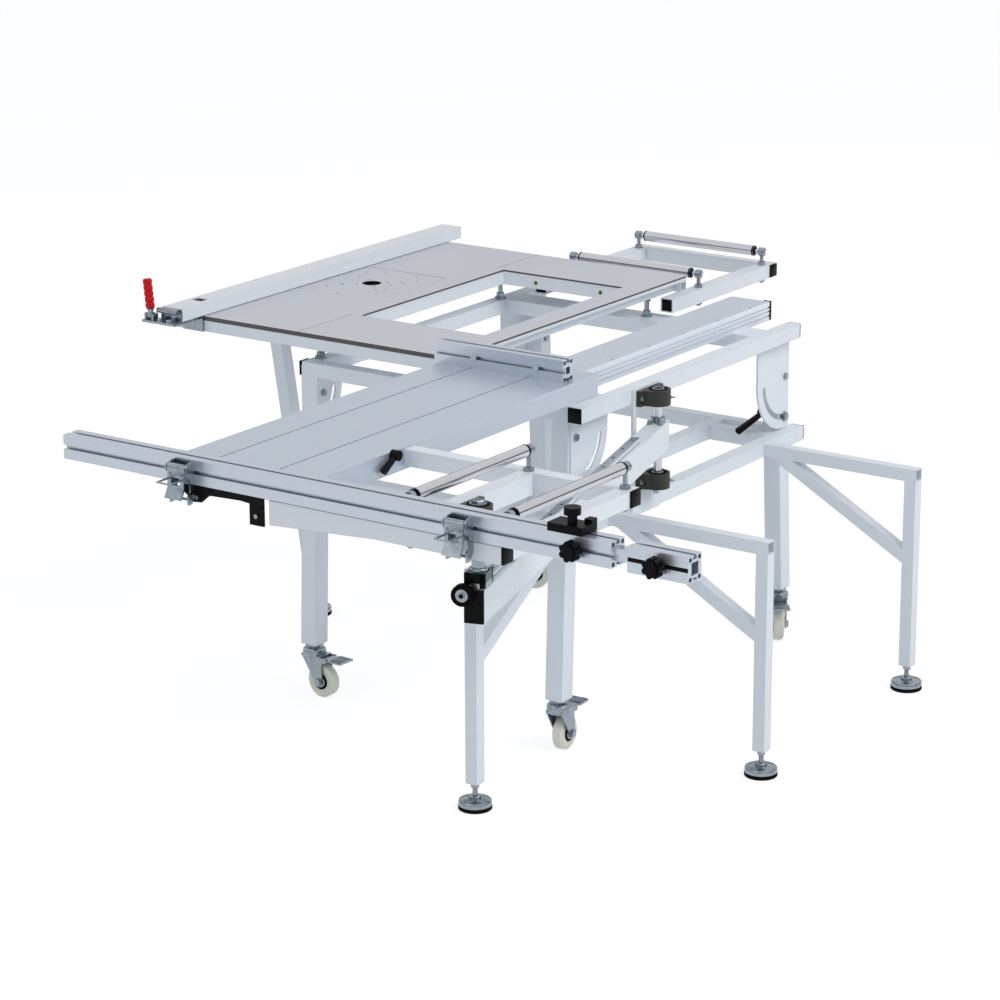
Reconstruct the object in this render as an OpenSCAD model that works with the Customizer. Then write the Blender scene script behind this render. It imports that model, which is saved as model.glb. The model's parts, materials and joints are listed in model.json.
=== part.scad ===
// Sliding table saw bench: a caster stand with a fixed table, a sliding table on a rail,
// and a crosscut frame with a fence that a swing arm carries at its outer end.
// Millimetres, +Z up, +Y along the slide's travel, +X towards the crosscut side.

/* [Stand] */
// Outside width of the stand across the legs
stand_w = 750; // [650:5:850]
// Length of the stand's upper frame
stand_l = 976; // [900:2:1100]
// Height of the leg tops
leg_top = 787; // [740:1:830]
// Width of a square leg
leg_w = 45; // [40:1:60]
// How far the front feet stand ahead of the leg tops
front_lean = 26; // [0:1:60]
// How far the rear feet stand behind the leg tops
rear_lean = 40; // [0:1:60]
// Width of the stand's square tubes
tube_w = 35; // [30:1:40]
// Wall of the stand's tubes
tube_t = 2.5; // [1.5:0.5:4]
// Height of the lower frame's underside
lower_z = 521; // [420:1:560]
// Width of the rear cross member
rear_cross_w = 80; // [40:1:100]
// Gap from the rear cross member to the frame's rear end
rear_cross_gap = 101; // [60:1:200]

/* [Leg fold plates] */
// Thickness of a fold plate
fold_t = 5; // [3:0.5:8]
// Outer radius of a fold plate
fold_r = 132; // [120:1:150]
// Radius of the arc slot
fold_slot_r = 102; // [80:1:110]
// Drop from the leg top to the front leg's pivot
front_pivot_drop = 39; // [30:1:60]
// Drop from the leg top to the rear leg's pivot
rear_pivot_drop = 98; // [60:1:110]
// Radius of the pivot and clamp bolts
fold_bolt_r = 6; // [4:0.5:7]

/* [Casters] */
// Height of a caster from the floor to the leg
caster_h = 130; // [125:1:150]
// Radius of a caster wheel
wheel_r = 40; // [32:1:42]
// Width of a caster wheel
wheel_w = 32; // [24:1:36]
// Trail of the wheel behind the swivel axis
caster_trail = 28; // [20:1:34]

/* [Outriggers and side leg] */
// Reach of the front outrigger ahead of the lower frame
out_front_l = 385; // [300:5:450]
// Reach of the side outriggers beyond the lower frame
out_side_l = 416; // [300:5:500]
// Height of the outrigger and side leg ends above the floor
foot_gap = 60; // [50:1:80]
// Radius of a levelling foot's base
foot_r = 38; // [30:1:45]
// Radius of a levelling foot's threaded stud
stud_r = 6; // [5:0.5:8]

/* [Main table] */
// Width of the table plate
table_w = 818; // [800:1:860]
// Length of the table plate
table_l = 1003; // [960:1:1020]
// Thickness of the table plate
table_t = 12; // [8:1:18]
// Height of the table frame's tubes
table_tube = 25; // [20:1:40]
// Width of the saw cut-out
cut_w = 355; // [300:1:380]
// Length of the saw cut-out
cut_l = 596; // [500:1:620]
// Radius of the router opening
router_r = 24; // [18:1:35]
// Height of the rip fence
rip_h = 30; // [25:1:45]
// Width of the rip fence
rip_w = 60; // [50:1:70]
// Length of the rip fence
rip_l = 1134; // [1060:2:1200]

/* [Rear extension] */
// Length of the rear extension's side tubes
ext_l = 508; // [450:2:600]
// Radius of the support rollers
roller_r = 13; // [10:0.5:16]
// Radius of a roller's axle
axle_r = 5; // [4:0.5:6]

/* [Sliding table] */
// Width of the slide rail
rail_w = 108; // [90:1:120]
// Height of the slide rail
rail_h = 47; // [40:1:60]
// Length of the slide rail
rail_l = 1570; // [1450:5:1650]
// Width of the sliding table
slide_w = 350; // [320:1:360]
// Height of the sliding table above the rail
slide_h = 40; // [36:1:48]
// Length of the sliding table
slide_l = 1142; // [1100:1:1200]

/* [Crosscut frame and fence] */
// Reach of the crosscut frame beyond the sliding table
cross_w = 544; // [480:1:600]
// Length of the crosscut frame along the slide
cross_l = 476; // [400:1:520]
// Height of a roller's axis above the crosscut frame
cross_roller_h = 44; // [30:1:60]
// Length of the crosscut fence
fence_l = 1308; // [1200:1:1500]
// Depth of the fence extrusion
fence_d = 45; // [40:1:50]
// Height of the fence extrusion
fence_h = 50; // [45:1:60]
// Length of the fence extension's end block
end_block_l = 128; // [80:1:160]

/* [Swing arm] */
// Radius of the swing arm's shaft
shaft_r = 10; // [8:0.5:12]
// Width of the arm beam
arm_w = 40; // [36:1:50]
// Height of the arm beam
arm_h = 68; // [50:1:80]

/* [Hidden] */

$fn = 48;
eps = 1;
running = 0.05;
clear = 0.3;

white = "#dfe5ec";
grey = "#b9b4ae";
alu = "#c9ced3";
steel = "#d5d9dc";
zinc = "#b8c0c4";
black = "#1d1f21";
ivory = "#e9e2c6";
iron = "#4b4a40";
red = "#c8202a";

// The stand, placed from its middle
stand_x = -15;
stand_y = -7;
stand_left = stand_x - stand_w / 2;
stand_right = stand_x + stand_w / 2;
stand_front = stand_y - stand_l / 2;
stand_rear = stand_y + stand_l / 2;
frame_top = leg_top + tube_w;
rear_cross_y = stand_rear - rear_cross_gap - rear_cross_w;
leg_xs = [stand_left, stand_right - leg_w];
leg_run = leg_top - caster_h;
lower_mid = lower_z + tube_w / 2;
inner_tube_x = 165;
short_cross_gap = 99;
short_cross_y = stand_rear - short_cross_gap;
lower_overhang = 15;
lower_front = leg_y(true, lower_mid) - leg_w / 2 - lower_overhang;
lower_rear = leg_y(false, lower_mid) + leg_w / 2 + lower_overhang;
lower_right = stand_right + tube_w;

// Fold plates and their bolts
fold_edge = 18;
fold_lap = 25;
fold_slot_w = 2 * fold_bolt_r + 1;
fold_slot_start = 8;
fold_hole_r = fold_bolt_r + running;
bolt_head_r = 1.4 * fold_bolt_r;
bolt_head_h = fold_bolt_r;
lever_l = 120;
lever_angle = 10;

// Casters
corners = ["front_left", "front_right", "rear_left", "rear_right"];
headings = [-3, 95, 215, -55];
fork_top = caster_h - 18;
fork_bottom = fork_top - 13.7;
fork_disc_r = 28;
fork_plate_t = 3.5;
fork_gap = wheel_w / 2 + 2;
fork_out = fork_gap + fork_plate_t;
head_r = leg_w / 2 + 1;
kingpin_r = 8;
wheel_bolt_r = 6;
pedal_u = caster_trail + 18;
pedal_z = fork_bottom - 2;
pedal_barrel_r = 5;
pedal_pin_r = 2.5;
pedal_l = 54;
pedal_t = 4;

// Outriggers, side leg and feet
out_w = tube_w - 2 * tube_t;
out_z = lower_mid - out_w / 2;
out_insert = 80;
out_mid_inset = 130;
out_mid_y = stand_front + out_mid_inset;
out_rear_inset = 151;
out_rear_y = stand_rear - out_rear_inset;
plug_h = 8;
brace_w = out_w;
front_brace = [88, 165];
side_brace = [50, 187];
foot_base_h = 23;
stud_top = foot_gap + 30;
out_x = stand_right + tube_w / 2;
foot_front_y = lower_front - out_front_l + out_w / 2;
foot_side_x = lower_right + out_side_l - out_w / 2;
side_leg_x = -735;
side_leg_top_y = -165;
side_leg_foot_y = -15;

// Heights of the work surfaces
rail_top = frame_top + rail_h;
slide_top = rail_top + slide_h;
table_top_z = slide_top - 1;
table_frame_top = table_top_z - table_t;
table_frame_z = table_frame_top - table_tube;

// Main table
slide_x = 86;
table_right = slide_x - 3;
table_left = table_right - table_w;
table_front = -548;
table_rear = table_front + table_l;
cut_x = -335;
cut_y = -335;
cut_side_w = 40;
cut_left_w = 50;
insert_x = -640;
insert_y = -190;
insert_w = 240;
insert_l = 290;
insert_ledge = 12;
insert_step = 6;
insert_gap = 0.5;
router_screw_r = 3;
router_pcd = 76;
table_bolt_r = 6;
rear_bolt_inset = 181;
left_bolt_x = stand_left + tube_w / 2;
right_bolt_x = cut_x + cut_w + cut_side_w / 2;
table_bolts = [
    [left_bolt_x, stand_front + 50],
    [left_bolt_x, stand_rear - rear_bolt_inset],
    [right_bolt_x, stand_front + tube_w / 2],
    [right_bolt_x, rear_cross_y + rear_cross_w / 2]
];

// Rip fence
rip_x = table_left + 35;
rip_front_over = 79;
rip_front = table_front - rip_front_over;
rip_rear = rip_front + rip_l;
rip_lift = 1.5;
rip_z = table_top_z + rip_lift;
rip_wall = 2.5;
rip_slot_l = 26;
rip_slot_w = 32;
rip_slot_x = 11;
rip_slot_y = 90;
clamp_l = 32;
clamp_plate = 6;
clamp_left = rip_x - 38;
clamp_rod_r = 6.5;
handle_x = rip_x - 19;
handle_y = rip_front - 20;
handle_z = rip_z + 10;
handle_lean = 6;
handle_pin_r = 4;
handle_ear_t = 5;
handle_ear_gap = 8.5;

// Rear extension
ext_lap = 103;
ext_y = table_rear - ext_lap;
ext_rear = ext_y + ext_l;
ext_z = table_frame_z - tube_w;
ext_right_x = 72.5;
ext_left_x = -301.5;
rear_roller_h = 34;
roller_axis_z = ext_z + tube_w + rear_roller_h;
near_roller_gap = 48;
far_roller_inset = 45;
rear_roller_ys = [table_rear + near_roller_gap, ext_rear - far_roller_inset];
screw_r = 5;
eye_r = 11;
eye_t = 14;
stand_nut_r = 11;
stand_nut_h = 8;
screw_tail = 12;

// Rail and sliding table
rail_x = 206;
rail_rear = 470;
rail_front = rail_rear - rail_l;
rail_wall = 4;
rail_groove_d = 3;
rail_groove_w = 4;
rail_groove_zs = [12, 22, 33];
rail_ledge_w = 24;
slide_rear = -493;
slide_front = slide_rear - slide_l;
slide_plate = 12;
slide_skirt = 8;
slide_skirt_drop = 7;
slide_right = slide_x + slide_w;
panel_grooves = [86, 240];
groove_w = 4;
groove_d = 3;
bearing_l = 100;
bearing_inset = 10;
bearing_rear_gap = 70;
bearing_pitch = 390;
bearing_ys = [for (i = [0, 1]) slide_rear - bearing_rear_gap - bearing_l - i * bearing_pitch];
profile_y = -607;
profile_d = 40;
profile_h = 50;
profile_x = 74;
profile_l = 345;
profile_bolts = [110, 276];

// Extrusion sections
slot_mouth = 8;
slot_lip = 3;
slot_wide = 14;
slot_deep = 8;
fence_core = 24;
core_gap = 0.3;
cell_w = 9;
cell_h = 8;
cell_wall = 2.5;

// Crosscut frame
cross_top = slide_top - 4;
cross_z = cross_top - tube_w;
cross_overhang = 23;
cross_front = slide_front - cross_overhang;
cross_rear = cross_front + cross_l;
cross_right = slide_right + cross_w;
mid_reach = 282;
mid_x = slide_right + mid_reach;
mid_extra = 10;
gusset_h = 15;
gusset_l = 270;
outer_x = cross_right - tube_w;
cross_roller_z = cross_top + cross_roller_h;
cross_roller_l = 375;
cross_roller_mid = (cross_front + cross_rear) / 2 + 14;
cross_stand_gap = 12;
cross_roller_xs = [mid_x + tube_w / 2, outer_x + tube_w / 2];
cross_lever_gap = 40;
cross_lever_y = cross_rear - tube_w - cross_lever_gap;
cross_lever_z = slide_top - slide_plate / 2;
cross_lever_l = 50;
lever_stud_r = 4;
lever_stud_l = 12;

// Crosscut fence
fence_x = -83;
fence_overhang = 30;
fence_y = slide_front - fence_overhang;
fence_z = slide_top;
fence_right = fence_x + fence_l;
fence_mid_y = fence_y + fence_d / 2;
fence_mid_z = fence_z + fence_h / 2;
ext_bar_out = 34;
ext_bar_in = 365;
end_block_x = fence_right + ext_bar_out;
fence_end = end_block_x + end_block_l;
knob_r = 20;
knob_h = 22;
knob_lobes = 7;
knob_stem_r = 3.9;
fence_knob_inset = 76;
fence_knob_x = fence_right - fence_knob_inset;
ext_knob_x = end_block_x + end_block_l / 2 + 2;
stop_inset = 137;
stop_x = fence_right - stop_inset;
stop_l = 75;
stop_h = 24;
flip_left_gap = 293;
flip_right_gap = 350;
flip_xs = [fence_x + flip_left_gap, fence_right - flip_right_gap];
flip_w = 48;
cheek_t = 3;
carrier_t = 4;
flip_pin_r = 4;
flip_pin_out = 24;
flip_pin_y = fence_y - flip_pin_out;
flip_pin_z = fence_mid_z + 12;
flip_barrel_r = 8;
flip_drop = 62;
flip_reach = 45;
bail_r = 2;
stop_front = flip_pin_y - flip_reach;

// Swing arm, measured from its shaft
block_h = 36;
block_r = 29;
block_base_t = 12;
block_base_l = 96;
bracket_t = 6;
block_face = lower_right + bracket_t;
block_zs = [lower_z + tube_w + 28, leg_top - 6];
shaft_x = block_face + block_r;
shaft_inset = 265;
shaft_y = stand_front + shaft_inset;
shaft_z0 = block_zs[0] - 13;
shaft_z1 = block_zs[1] + block_h - 3;
bracket_strip_w = 14;
bracket_pad_l = 120;
pivot_x = mid_x + tube_w + 30;
pivot_y = -1450;
pivot_block_z = cross_z - 2;
pivot_gap = 2;
post_top = cross_z - mid_extra - screw_tail - pivot_gap;
post_r = 14;
arm_reach = norm([pivot_x - shaft_x, pivot_y - shaft_y]);
arm_angle = atan2(pivot_x - shaft_x, shaft_y - pivot_y);
arm_end = arm_reach + 25;
arm_tail = 24;
arm_top = block_zs[1] - 42;
arm_z = arm_top - arm_h;
arm_solid = 40;
arm_wall = 3;
arm_rail_w = 20;
arm_rail_h = 12;
arm_rail_start = 185;
carriage_l = 50;
carriage_w = 44;
carriage_h = 30;
arm_wheel_r = 22;
arm_wheel_w = 14;
arm_wheel_v = -arm_w / 2;
arm_wheel_z = arm_top - 9;

// The origin lies under the middle of the whole bench, on the floor
left_end = side_leg_x - foot_r;
origin_x = (left_end + fence_end) / 2;
origin_y = (stop_front + ext_rear) / 2;

// Middle of a leg along Y at a height
function leg_y(front, z) =
    front ? stand_front + leg_w / 2 - front_lean * (leg_top - z) / leg_run
          : stand_rear - leg_w / 2 + rear_lean * (leg_top - z) / leg_run;
function pivot_z(front) = leg_top - (front ? front_pivot_drop : rear_pivot_drop);
function fold_pivot_y(front) = leg_y(front, pivot_z(front));

// Square tubes that run along each axis, open at both ends
module tube_x(x0, x1, y0, z0, w = tube_w, h = tube_w, t = tube_t) {
    translate([x0, y0, z0]) difference() {
        cube([x1 - x0, w, h]);
        translate([-eps, t, t]) cube([x1 - x0 + 2 * eps, w - 2 * t, h - 2 * t]);
    }
}

module tube_y(y0, y1, x0, z0, w = tube_w, h = tube_w, t = tube_t) {
    translate([x0, y0, z0]) difference() {
        cube([w, y1 - y0, h]);
        translate([t, -eps, t]) cube([w - 2 * t, y1 - y0 + 2 * eps, h - 2 * t]);
    }
}

// A solid swept along X from a section drawn in Y and Z
module along_x(x0, x1) {
    translate([x0, 0, 0]) rotate([90, 0, 90]) linear_extrude(x1 - x0) children();
}

// A solid swept along Y from a section drawn in X and Z
module along_y(y0, y1) {
    translate([0, y1, 0]) rotate([90, 0, 0]) linear_extrude(y1 - y0) children();
}

module rod_x(x0, x1, y, z, r) {
    translate([x0, y, z]) rotate([0, 90, 0]) cylinder(r = r, h = x1 - x0);
}

module rod_y(y0, y1, x, z, r) {
    translate([x, y1, z]) rotate([90, 0, 0]) cylinder(r = r, h = y1 - y0);
}

module hex_x(x0, x1, y, z, r) {
    translate([x0, y, z]) rotate([0, 90, 0]) cylinder(r = r, h = x1 - x0, $fn = 6);
}

// The stand
module upper_frame() {
    color(white) {
        tube_y(stand_front, stand_rear, stand_right, leg_top);
        tube_y(stand_front + tube_w, stand_rear, stand_left, leg_top);
        tube_x(stand_left, stand_right, stand_front, leg_top);
        tube_x(stand_left + tube_w, stand_right, rear_cross_y, leg_top, rear_cross_w);
        for (front = [true, false]) {
            fold_plate(front, stand_right, 0);
            fold_plate(front, stand_left - fold_t, fold_lap);
        }
        bearing_bracket();
    }
}

// Sector plate that a leg is pivoted and clamped on, welded to the frame
module fold_plate(front, x0, lap) {
    drop = front ? front_pivot_drop : rear_pivot_drop;
    side = front ? 1 : -1;
    translate([x0, fold_pivot_y(front), pivot_z(front)])
    scale([1, side, 1])
    difference() {
        along_x(0, fold_t) {
            intersection() {
                circle(r = fold_r);
                translate([-fold_edge, -fold_r]) square([fold_r + fold_edge, fold_r]);
            }
            translate([-fold_edge, -eps]) square([fold_r + fold_edge, drop + lap + eps]);
        }
        rod_x(-eps, fold_t + eps, 0, 0, fold_hole_r);
        fold_slot();
    }
}

// Points along an arc, with or without its two ends
function arc_points(r, a0, a1, n, c = [0, 0], skip = 0) =
    [for (i = [skip:n - skip]) c + r * [cos(a0 + (a1 - a0) * i / n), sin(a0 + (a1 - a0) * i / n)]];

// Arc slot from under the pivot towards the inside of the stand
module fold_slot() {
    half = fold_slot_w / 2;
    end = -fold_slot_start;
    end_mid = fold_slot_r * [cos(end), sin(end)];
    along_x(-eps, fold_t + eps) polygon(concat(
        arc_points(fold_slot_r + half, -90, end, 10),
        arc_points(half, end, end + 180, 6, end_mid, 1),
        arc_points(fold_slot_r - half, end, -90, 10),
        arc_points(half, 90, 270, 6, [0, -fold_slot_r], 1)
    ));
}

// Flat bracket between the upper and lower long tubes that carries the pillow blocks
module bearing_bracket() {
    pad_y = shaft_y - bracket_pad_l / 2;
    low_pad_h = block_zs[0] + block_h - lower_z;
    translate([lower_right, pad_y, lower_z]) cube([bracket_t, bracket_pad_l, low_pad_h]);
    translate([lower_right, pad_y, block_zs[1]])
        cube([bracket_t, bracket_pad_l, frame_top - block_zs[1]]);
    translate([lower_right, pad_y, lower_z]) cube([bracket_t, bracket_strip_w, frame_top - lower_z]);
}

module lower_frame() {
    front_y = leg_y(true, lower_mid);
    rear_y = leg_y(false, lower_mid);
    left = stand_left + leg_w;
    right = stand_right - leg_w;
    color(white) {
        tube_y(lower_front, lower_rear, stand_right, lower_z);
        tube_y(front_y + tube_w / 2 - eps, rear_y - tube_w / 2 + eps, inner_tube_x, lower_z);
        tube_x(left, right, front_y - tube_w / 2, lower_z);
        tube_x(left, right, rear_y - tube_w / 2, lower_z);
        tube_x(inner_tube_x + tube_w, stand_right, short_cross_y, lower_z);
    }
}

module leg(front, x0) {
    top_y = leg_y(front, leg_top);
    foot_y = leg_y(front, caster_h);
    clamp_z = pivot_z(front) - fold_slot_r;
    inner = leg_w / 2 - tube_t;
    difference() {
        along_x(x0, x0 + leg_w) polygon([
            [top_y - leg_w / 2, leg_top], [top_y + leg_w / 2, leg_top],
            [foot_y + leg_w / 2, caster_h], [foot_y - leg_w / 2, caster_h]
        ]);
        along_x(x0 + tube_t, x0 + leg_w - tube_t) polygon([
            [top_y - inner, leg_top + eps], [top_y + inner, leg_top + eps],
            [foot_y + inner, caster_h - eps], [foot_y - inner, caster_h - eps]
        ]);
        for (z = [pivot_z(front), clamp_z])
            rod_x(x0 - eps, x0 + leg_w + eps, fold_pivot_y(front), z, fold_hole_r);
    }
}

module front_legs() {
    color(white) for (x = leg_xs) leg(true, x);
}

module rear_legs() {
    color(white) for (x = leg_xs) leg(false, x);
}

// Bolt with a head outside the fold plate and a nut inside the leg pair
module fold_bolt(y, z, right) {
    head = right ? stand_right + fold_t : stand_left - fold_t - bolt_head_h;
    shank = right ? stand_right - leg_w : stand_left - fold_t;
    nut = right ? stand_right - leg_w - bolt_head_h : stand_left + leg_w;
    hex_x(head, head + bolt_head_h, y, z, bolt_head_r);
    rod_x(shank, shank + leg_w + fold_t, y, z, fold_bolt_r);
    hex_x(nut, nut + bolt_head_h, y, z, bolt_head_r);
}

module fold_bolts() {
    color(zinc) for (front = [true, false], right = [true, false]) {
        fold_bolt(fold_pivot_y(front), pivot_z(front), right);
        if (front || !right)
            fold_bolt(fold_pivot_y(front), pivot_z(front) - fold_slot_r, right);
    }
}

// Clamp lever inside the rear right leg, with its own stud and head through the fold plate
module leg_lever() {
    y = fold_pivot_y(false);
    z = pivot_z(false) - fold_slot_r;
    inner = stand_right - leg_w - clear;
    outer = stand_right + fold_t + clear;
    hub_r = 12;
    hub_h = 20;
    grip_r = 7;
    color(black) {
        rod_x(inner - eps, outer + eps, y, z, fold_bolt_r);
        hex_x(outer, outer + bolt_head_h, y, z, bolt_head_r);
        rod_x(inner - hub_h, inner, y, z, hub_r);
        translate([inner - hub_h / 2, y, z]) rotate([90 + lever_angle, 0, 0])
            cylinder(r1 = grip_r, r2 = grip_r + 2, h = lever_l);
    }
}

// Casters
module at_corner(i) {
    front = i < 2;
    x = leg_xs[i % 2] + leg_w / 2;
    translate([x, leg_y(front, caster_h), 0]) rotate([0, 0, headings[i]]) children();
}

// Flange under the leg, upper race and kingpin with its nut
module caster_head() {
    flange = 3;
    neck_r = 12;
    nut_h = 6;
    race_h = 7;
    translate([0, 0, caster_h - flange]) cylinder(r = head_r, h = flange);
    translate([0, 0, fork_top + race_h]) cylinder(r = neck_r, h = caster_h - flange - fork_top - race_h + eps);
    translate([0, 0, fork_top + clear]) rotate_extrude() polygon([
        [0, 0], [fork_disc_r - 1, 0], [fork_disc_r - 1, race_h / 2], [fork_disc_r - 5, race_h], [0, race_h]
    ]);
    translate([0, 0, fork_bottom - clear - nut_h]) cylinder(r = kingpin_r, h = caster_h - fork_bottom);
    translate([0, 0, fork_bottom - clear - nut_h]) cylinder(r = 1.6 * kingpin_r, h = nut_h, $fn = 6);
}

module caster_heads() {
    color(zinc) for (i = [0:3]) at_corner(i) caster_head();
}

module caster_fork(i) {
    crown_t = 6;
    ear_r = 7;
    axle_boss = 12;
    color(zinc) at_corner(i) {
        difference() {
            union() {
                translate([0, 0, fork_bottom]) cylinder(r = fork_disc_r, h = fork_top - fork_bottom);
                translate([-fork_disc_r + 4, -fork_out, fork_bottom])
                    cube([fork_disc_r + caster_trail + 4, 2 * fork_out, crown_t]);
            }
            translate([0, 0, fork_bottom - eps]) cylinder(r = kingpin_r + running, h = fork_top);
        }
        for (side = [-1, 1]) translate([0, side * (fork_gap + fork_plate_t / 2) + fork_plate_t / 2, 0])
            rotate([90, 0, 0]) linear_extrude(fork_plate_t) {
                polygon([
                    [-fork_disc_r + 6, fork_bottom + eps], [caster_trail + 8, fork_bottom + eps],
                    [caster_trail + axle_boss, wheel_r], [caster_trail - axle_boss, wheel_r]
                ]);
                translate([caster_trail, wheel_r]) circle(r = axle_boss);
                translate([pedal_u, pedal_z]) circle(r = ear_r);
                translate([caster_trail, pedal_z - ear_r + 1]) square([pedal_u - caster_trail, 2 * ear_r - 2]);
            }
        rod_y(-fork_out, fork_out, caster_trail, wheel_r, wheel_bolt_r);
        rod_y(-fork_out, fork_out, pedal_u, pedal_z, pedal_pin_r);
        for (side = [-1, 1]) translate([caster_trail, side * (fork_out + 2.5) + 2.5, wheel_r])
            rotate([90, 0, 0]) cylinder(r = 9, h = 5, $fn = 6);
    }
}

module caster_wheel(i) {
    tread = 6;
    hub_r = 14;
    color(ivory) at_corner(i) translate([caster_trail, 0, wheel_r]) rotate([90, 0, 0])
        rotate_extrude() polygon([
            [wheel_bolt_r + running, -wheel_w / 2], [hub_r, -wheel_w / 2],
            [hub_r + 2, -wheel_w / 2 + 4], [wheel_r - tread, -wheel_w / 2 + 2],
            [wheel_r, -wheel_w / 2 + tread], [wheel_r, wheel_w / 2 - tread],
            [wheel_r - tread, wheel_w / 2 - 2], [hub_r + 2, wheel_w / 2 - 4],
            [hub_r, wheel_w / 2], [wheel_bolt_r + running, wheel_w / 2]
        ]);
}

module caster_pedal(i) {
    half = fork_gap - 0.5;
    toe = fork_out + 3;
    start = 10;
    color(black) at_corner(i) translate([pedal_u, 0, pedal_z]) difference() {
        union() {
            rod_y(-half, half, 0, 0, pedal_barrel_r);
            translate([0, 0, pedal_barrel_r - pedal_t]) linear_extrude(pedal_t) polygon([
                [0, -half], [start, -half], [start + 6, -toe], [pedal_l, -toe],
                [pedal_l, toe], [start + 6, toe], [start, half], [0, half]
            ]);
        }
        rod_y(-half - eps, half + eps, 0, 0, pedal_pin_r + running);
    }
}

// An outrigger from its inner end: top tube, upright and brace, along +X from x = 0
module outrigger(reach, insert, brace) {
    upright = reach - out_w;
    slope = atan2(brace[1], upright - brace[0]);
    flat = brace_w / 2 / sin(slope);
    rise = brace_w / 2 / cos(slope);
    tube_x(-insert, reach, -out_w / 2, out_z, out_w, out_w, tube_t);
    translate([upright, -out_w / 2, foot_gap]) difference() {
        cube([out_w, out_w, out_z - foot_gap]);
        translate([tube_t, tube_t, plug_h])
            cube([out_w - 2 * tube_t, out_w - 2 * tube_t, out_z - foot_gap]);
        translate([out_w / 2, out_w / 2, -eps]) cylinder(r = stud_r + running, h = plug_h + 2 * eps);
    }
    translate([0, out_w / 2, 0]) rotate([90, 0, 0]) linear_extrude(out_w) polygon([
        [brace[0] - flat, out_z], [brace[0] + flat, out_z],
        [upright, out_z - brace[1] + rise], [upright, out_z - brace[1] - rise]
    ]);
}

module outriggers() {
    color(white) {
        translate([out_x, lower_front, 0]) rotate([0, 0, -90])
            outrigger(out_front_l, out_insert, front_brace);
        for (y = [out_mid_y, out_rear_y]) translate([lower_right, y, 0])
            outrigger(out_side_l, 0, side_brace);
    }
}

// Leaning leg under the table's left edge
module side_leg() {
    x0 = side_leg_x - tube_w / 2;
    inner = tube_w / 2 - tube_t;
    plug_y = side_leg_foot_y + (side_leg_top_y - side_leg_foot_y) * plug_h / (table_frame_z - foot_gap);
    color(white) difference() {
        along_x(x0, x0 + tube_w) polygon([
            [side_leg_top_y - tube_w / 2, table_frame_z], [side_leg_top_y + tube_w / 2, table_frame_z],
            [side_leg_foot_y + tube_w / 2, foot_gap], [side_leg_foot_y - tube_w / 2, foot_gap]
        ]);
        along_x(x0 + tube_t, x0 + tube_w - tube_t) polygon([
            [side_leg_top_y - inner, table_frame_z + eps], [side_leg_top_y + inner, table_frame_z + eps],
            [plug_y + inner, foot_gap + plug_h], [plug_y - inner, foot_gap + plug_h]
        ]);
        translate([side_leg_x, side_leg_foot_y, foot_gap - eps])
            cylinder(r = stud_r + running, h = plug_h + 2 * eps);
    }
}

// Levelling foot: base, neck, lock nut and threaded stud
module levelling_foot(x, y) {
    neck_r = 14;
    nut_h = 8;
    color(zinc) translate([x, y, 0]) {
        rotate_extrude() polygon([
            [0, 0], [foot_r, 0], [foot_r, foot_base_h - 4], [foot_r - 4, foot_base_h],
            [neck_r, foot_base_h + 2], [neck_r, foot_base_h + 8], [0, foot_base_h + 8]
        ]);
        cylinder(r = stud_r, h = stud_top);
        translate([0, 0, foot_gap - nut_h - 2]) cylinder(r = 1.8 * stud_r, h = nut_h, $fn = 6);
    }
}

// Main table
module table_top() {
    color(grey) difference() {
        translate([table_left, table_front, table_frame_top]) cube([table_w, table_l, table_t]);
        translate([cut_x, cut_y, table_frame_top - eps]) cube([cut_w, cut_l, table_t + 2 * eps]);
        translate([insert_x - insert_gap, insert_y - insert_gap, table_frame_top + insert_step])
            cube([insert_w + 2 * insert_gap, insert_l + 2 * insert_gap, table_t]);
        translate([insert_x + insert_ledge, insert_y + insert_ledge, table_frame_top - eps])
            cube([insert_w - 2 * insert_ledge, insert_l - 2 * insert_ledge, table_t]);
    }
}

// Removable panel with the router opening, seated on the table's ledge
module router_insert() {
    mid = [insert_x + insert_w / 2, insert_y + insert_l / 2, table_frame_top + insert_step];
    color(grey) difference() {
        translate([insert_x, insert_y, mid[2]]) cube([insert_w, insert_l, table_t - insert_step]);
        translate(mid - [0, 0, eps]) cylinder(r = router_r, h = table_t);
        for (a = [45:90:315]) translate(mid - [0, 0, eps]) rotate([0, 0, a])
            translate([router_pcd / 2, 0, 0]) cylinder(r = router_screw_r, h = table_t);
    }
}

module table_frame() {
    in_front = table_front + table_tube;
    in_rear = table_rear - table_tube;
    cut_right = cut_x + cut_w;
    cut_rear = cut_y + cut_l;
    color(white) {
        for (y = [table_front, in_rear])
            tube_x(table_left, table_right, y, table_frame_z, table_tube, table_tube);
        tube_y(in_front, in_rear, table_left, table_frame_z, tube_w, table_tube);
        tube_y(in_front, in_rear, cut_x - cut_left_w, table_frame_z, cut_left_w, table_tube);
        tube_y(in_front, in_rear, cut_right, table_frame_z, cut_side_w, table_tube);
        for (y = [cut_y - table_tube, cut_rear])
            tube_x(cut_x, cut_right, y, table_frame_z, table_tube, table_tube);
    }
}

// Screw with a flange nut on the stand and a lock nut under the table
module table_screw(p) {
    flange_r = 14;
    flange_h = 5;
    nut_h = 10;
    translate([p[0], p[1], frame_top]) {
        cylinder(r = table_bolt_r, h = table_frame_z - frame_top);
        cylinder(r = flange_r, h = flange_h);
        cylinder(r = 1.8 * table_bolt_r, h = flange_h + nut_h, $fn = 6);
        translate([0, 0, table_frame_z - frame_top - nut_h])
            cylinder(r = 1.8 * table_bolt_r, h = nut_h, $fn = 6);
    }
}

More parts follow.
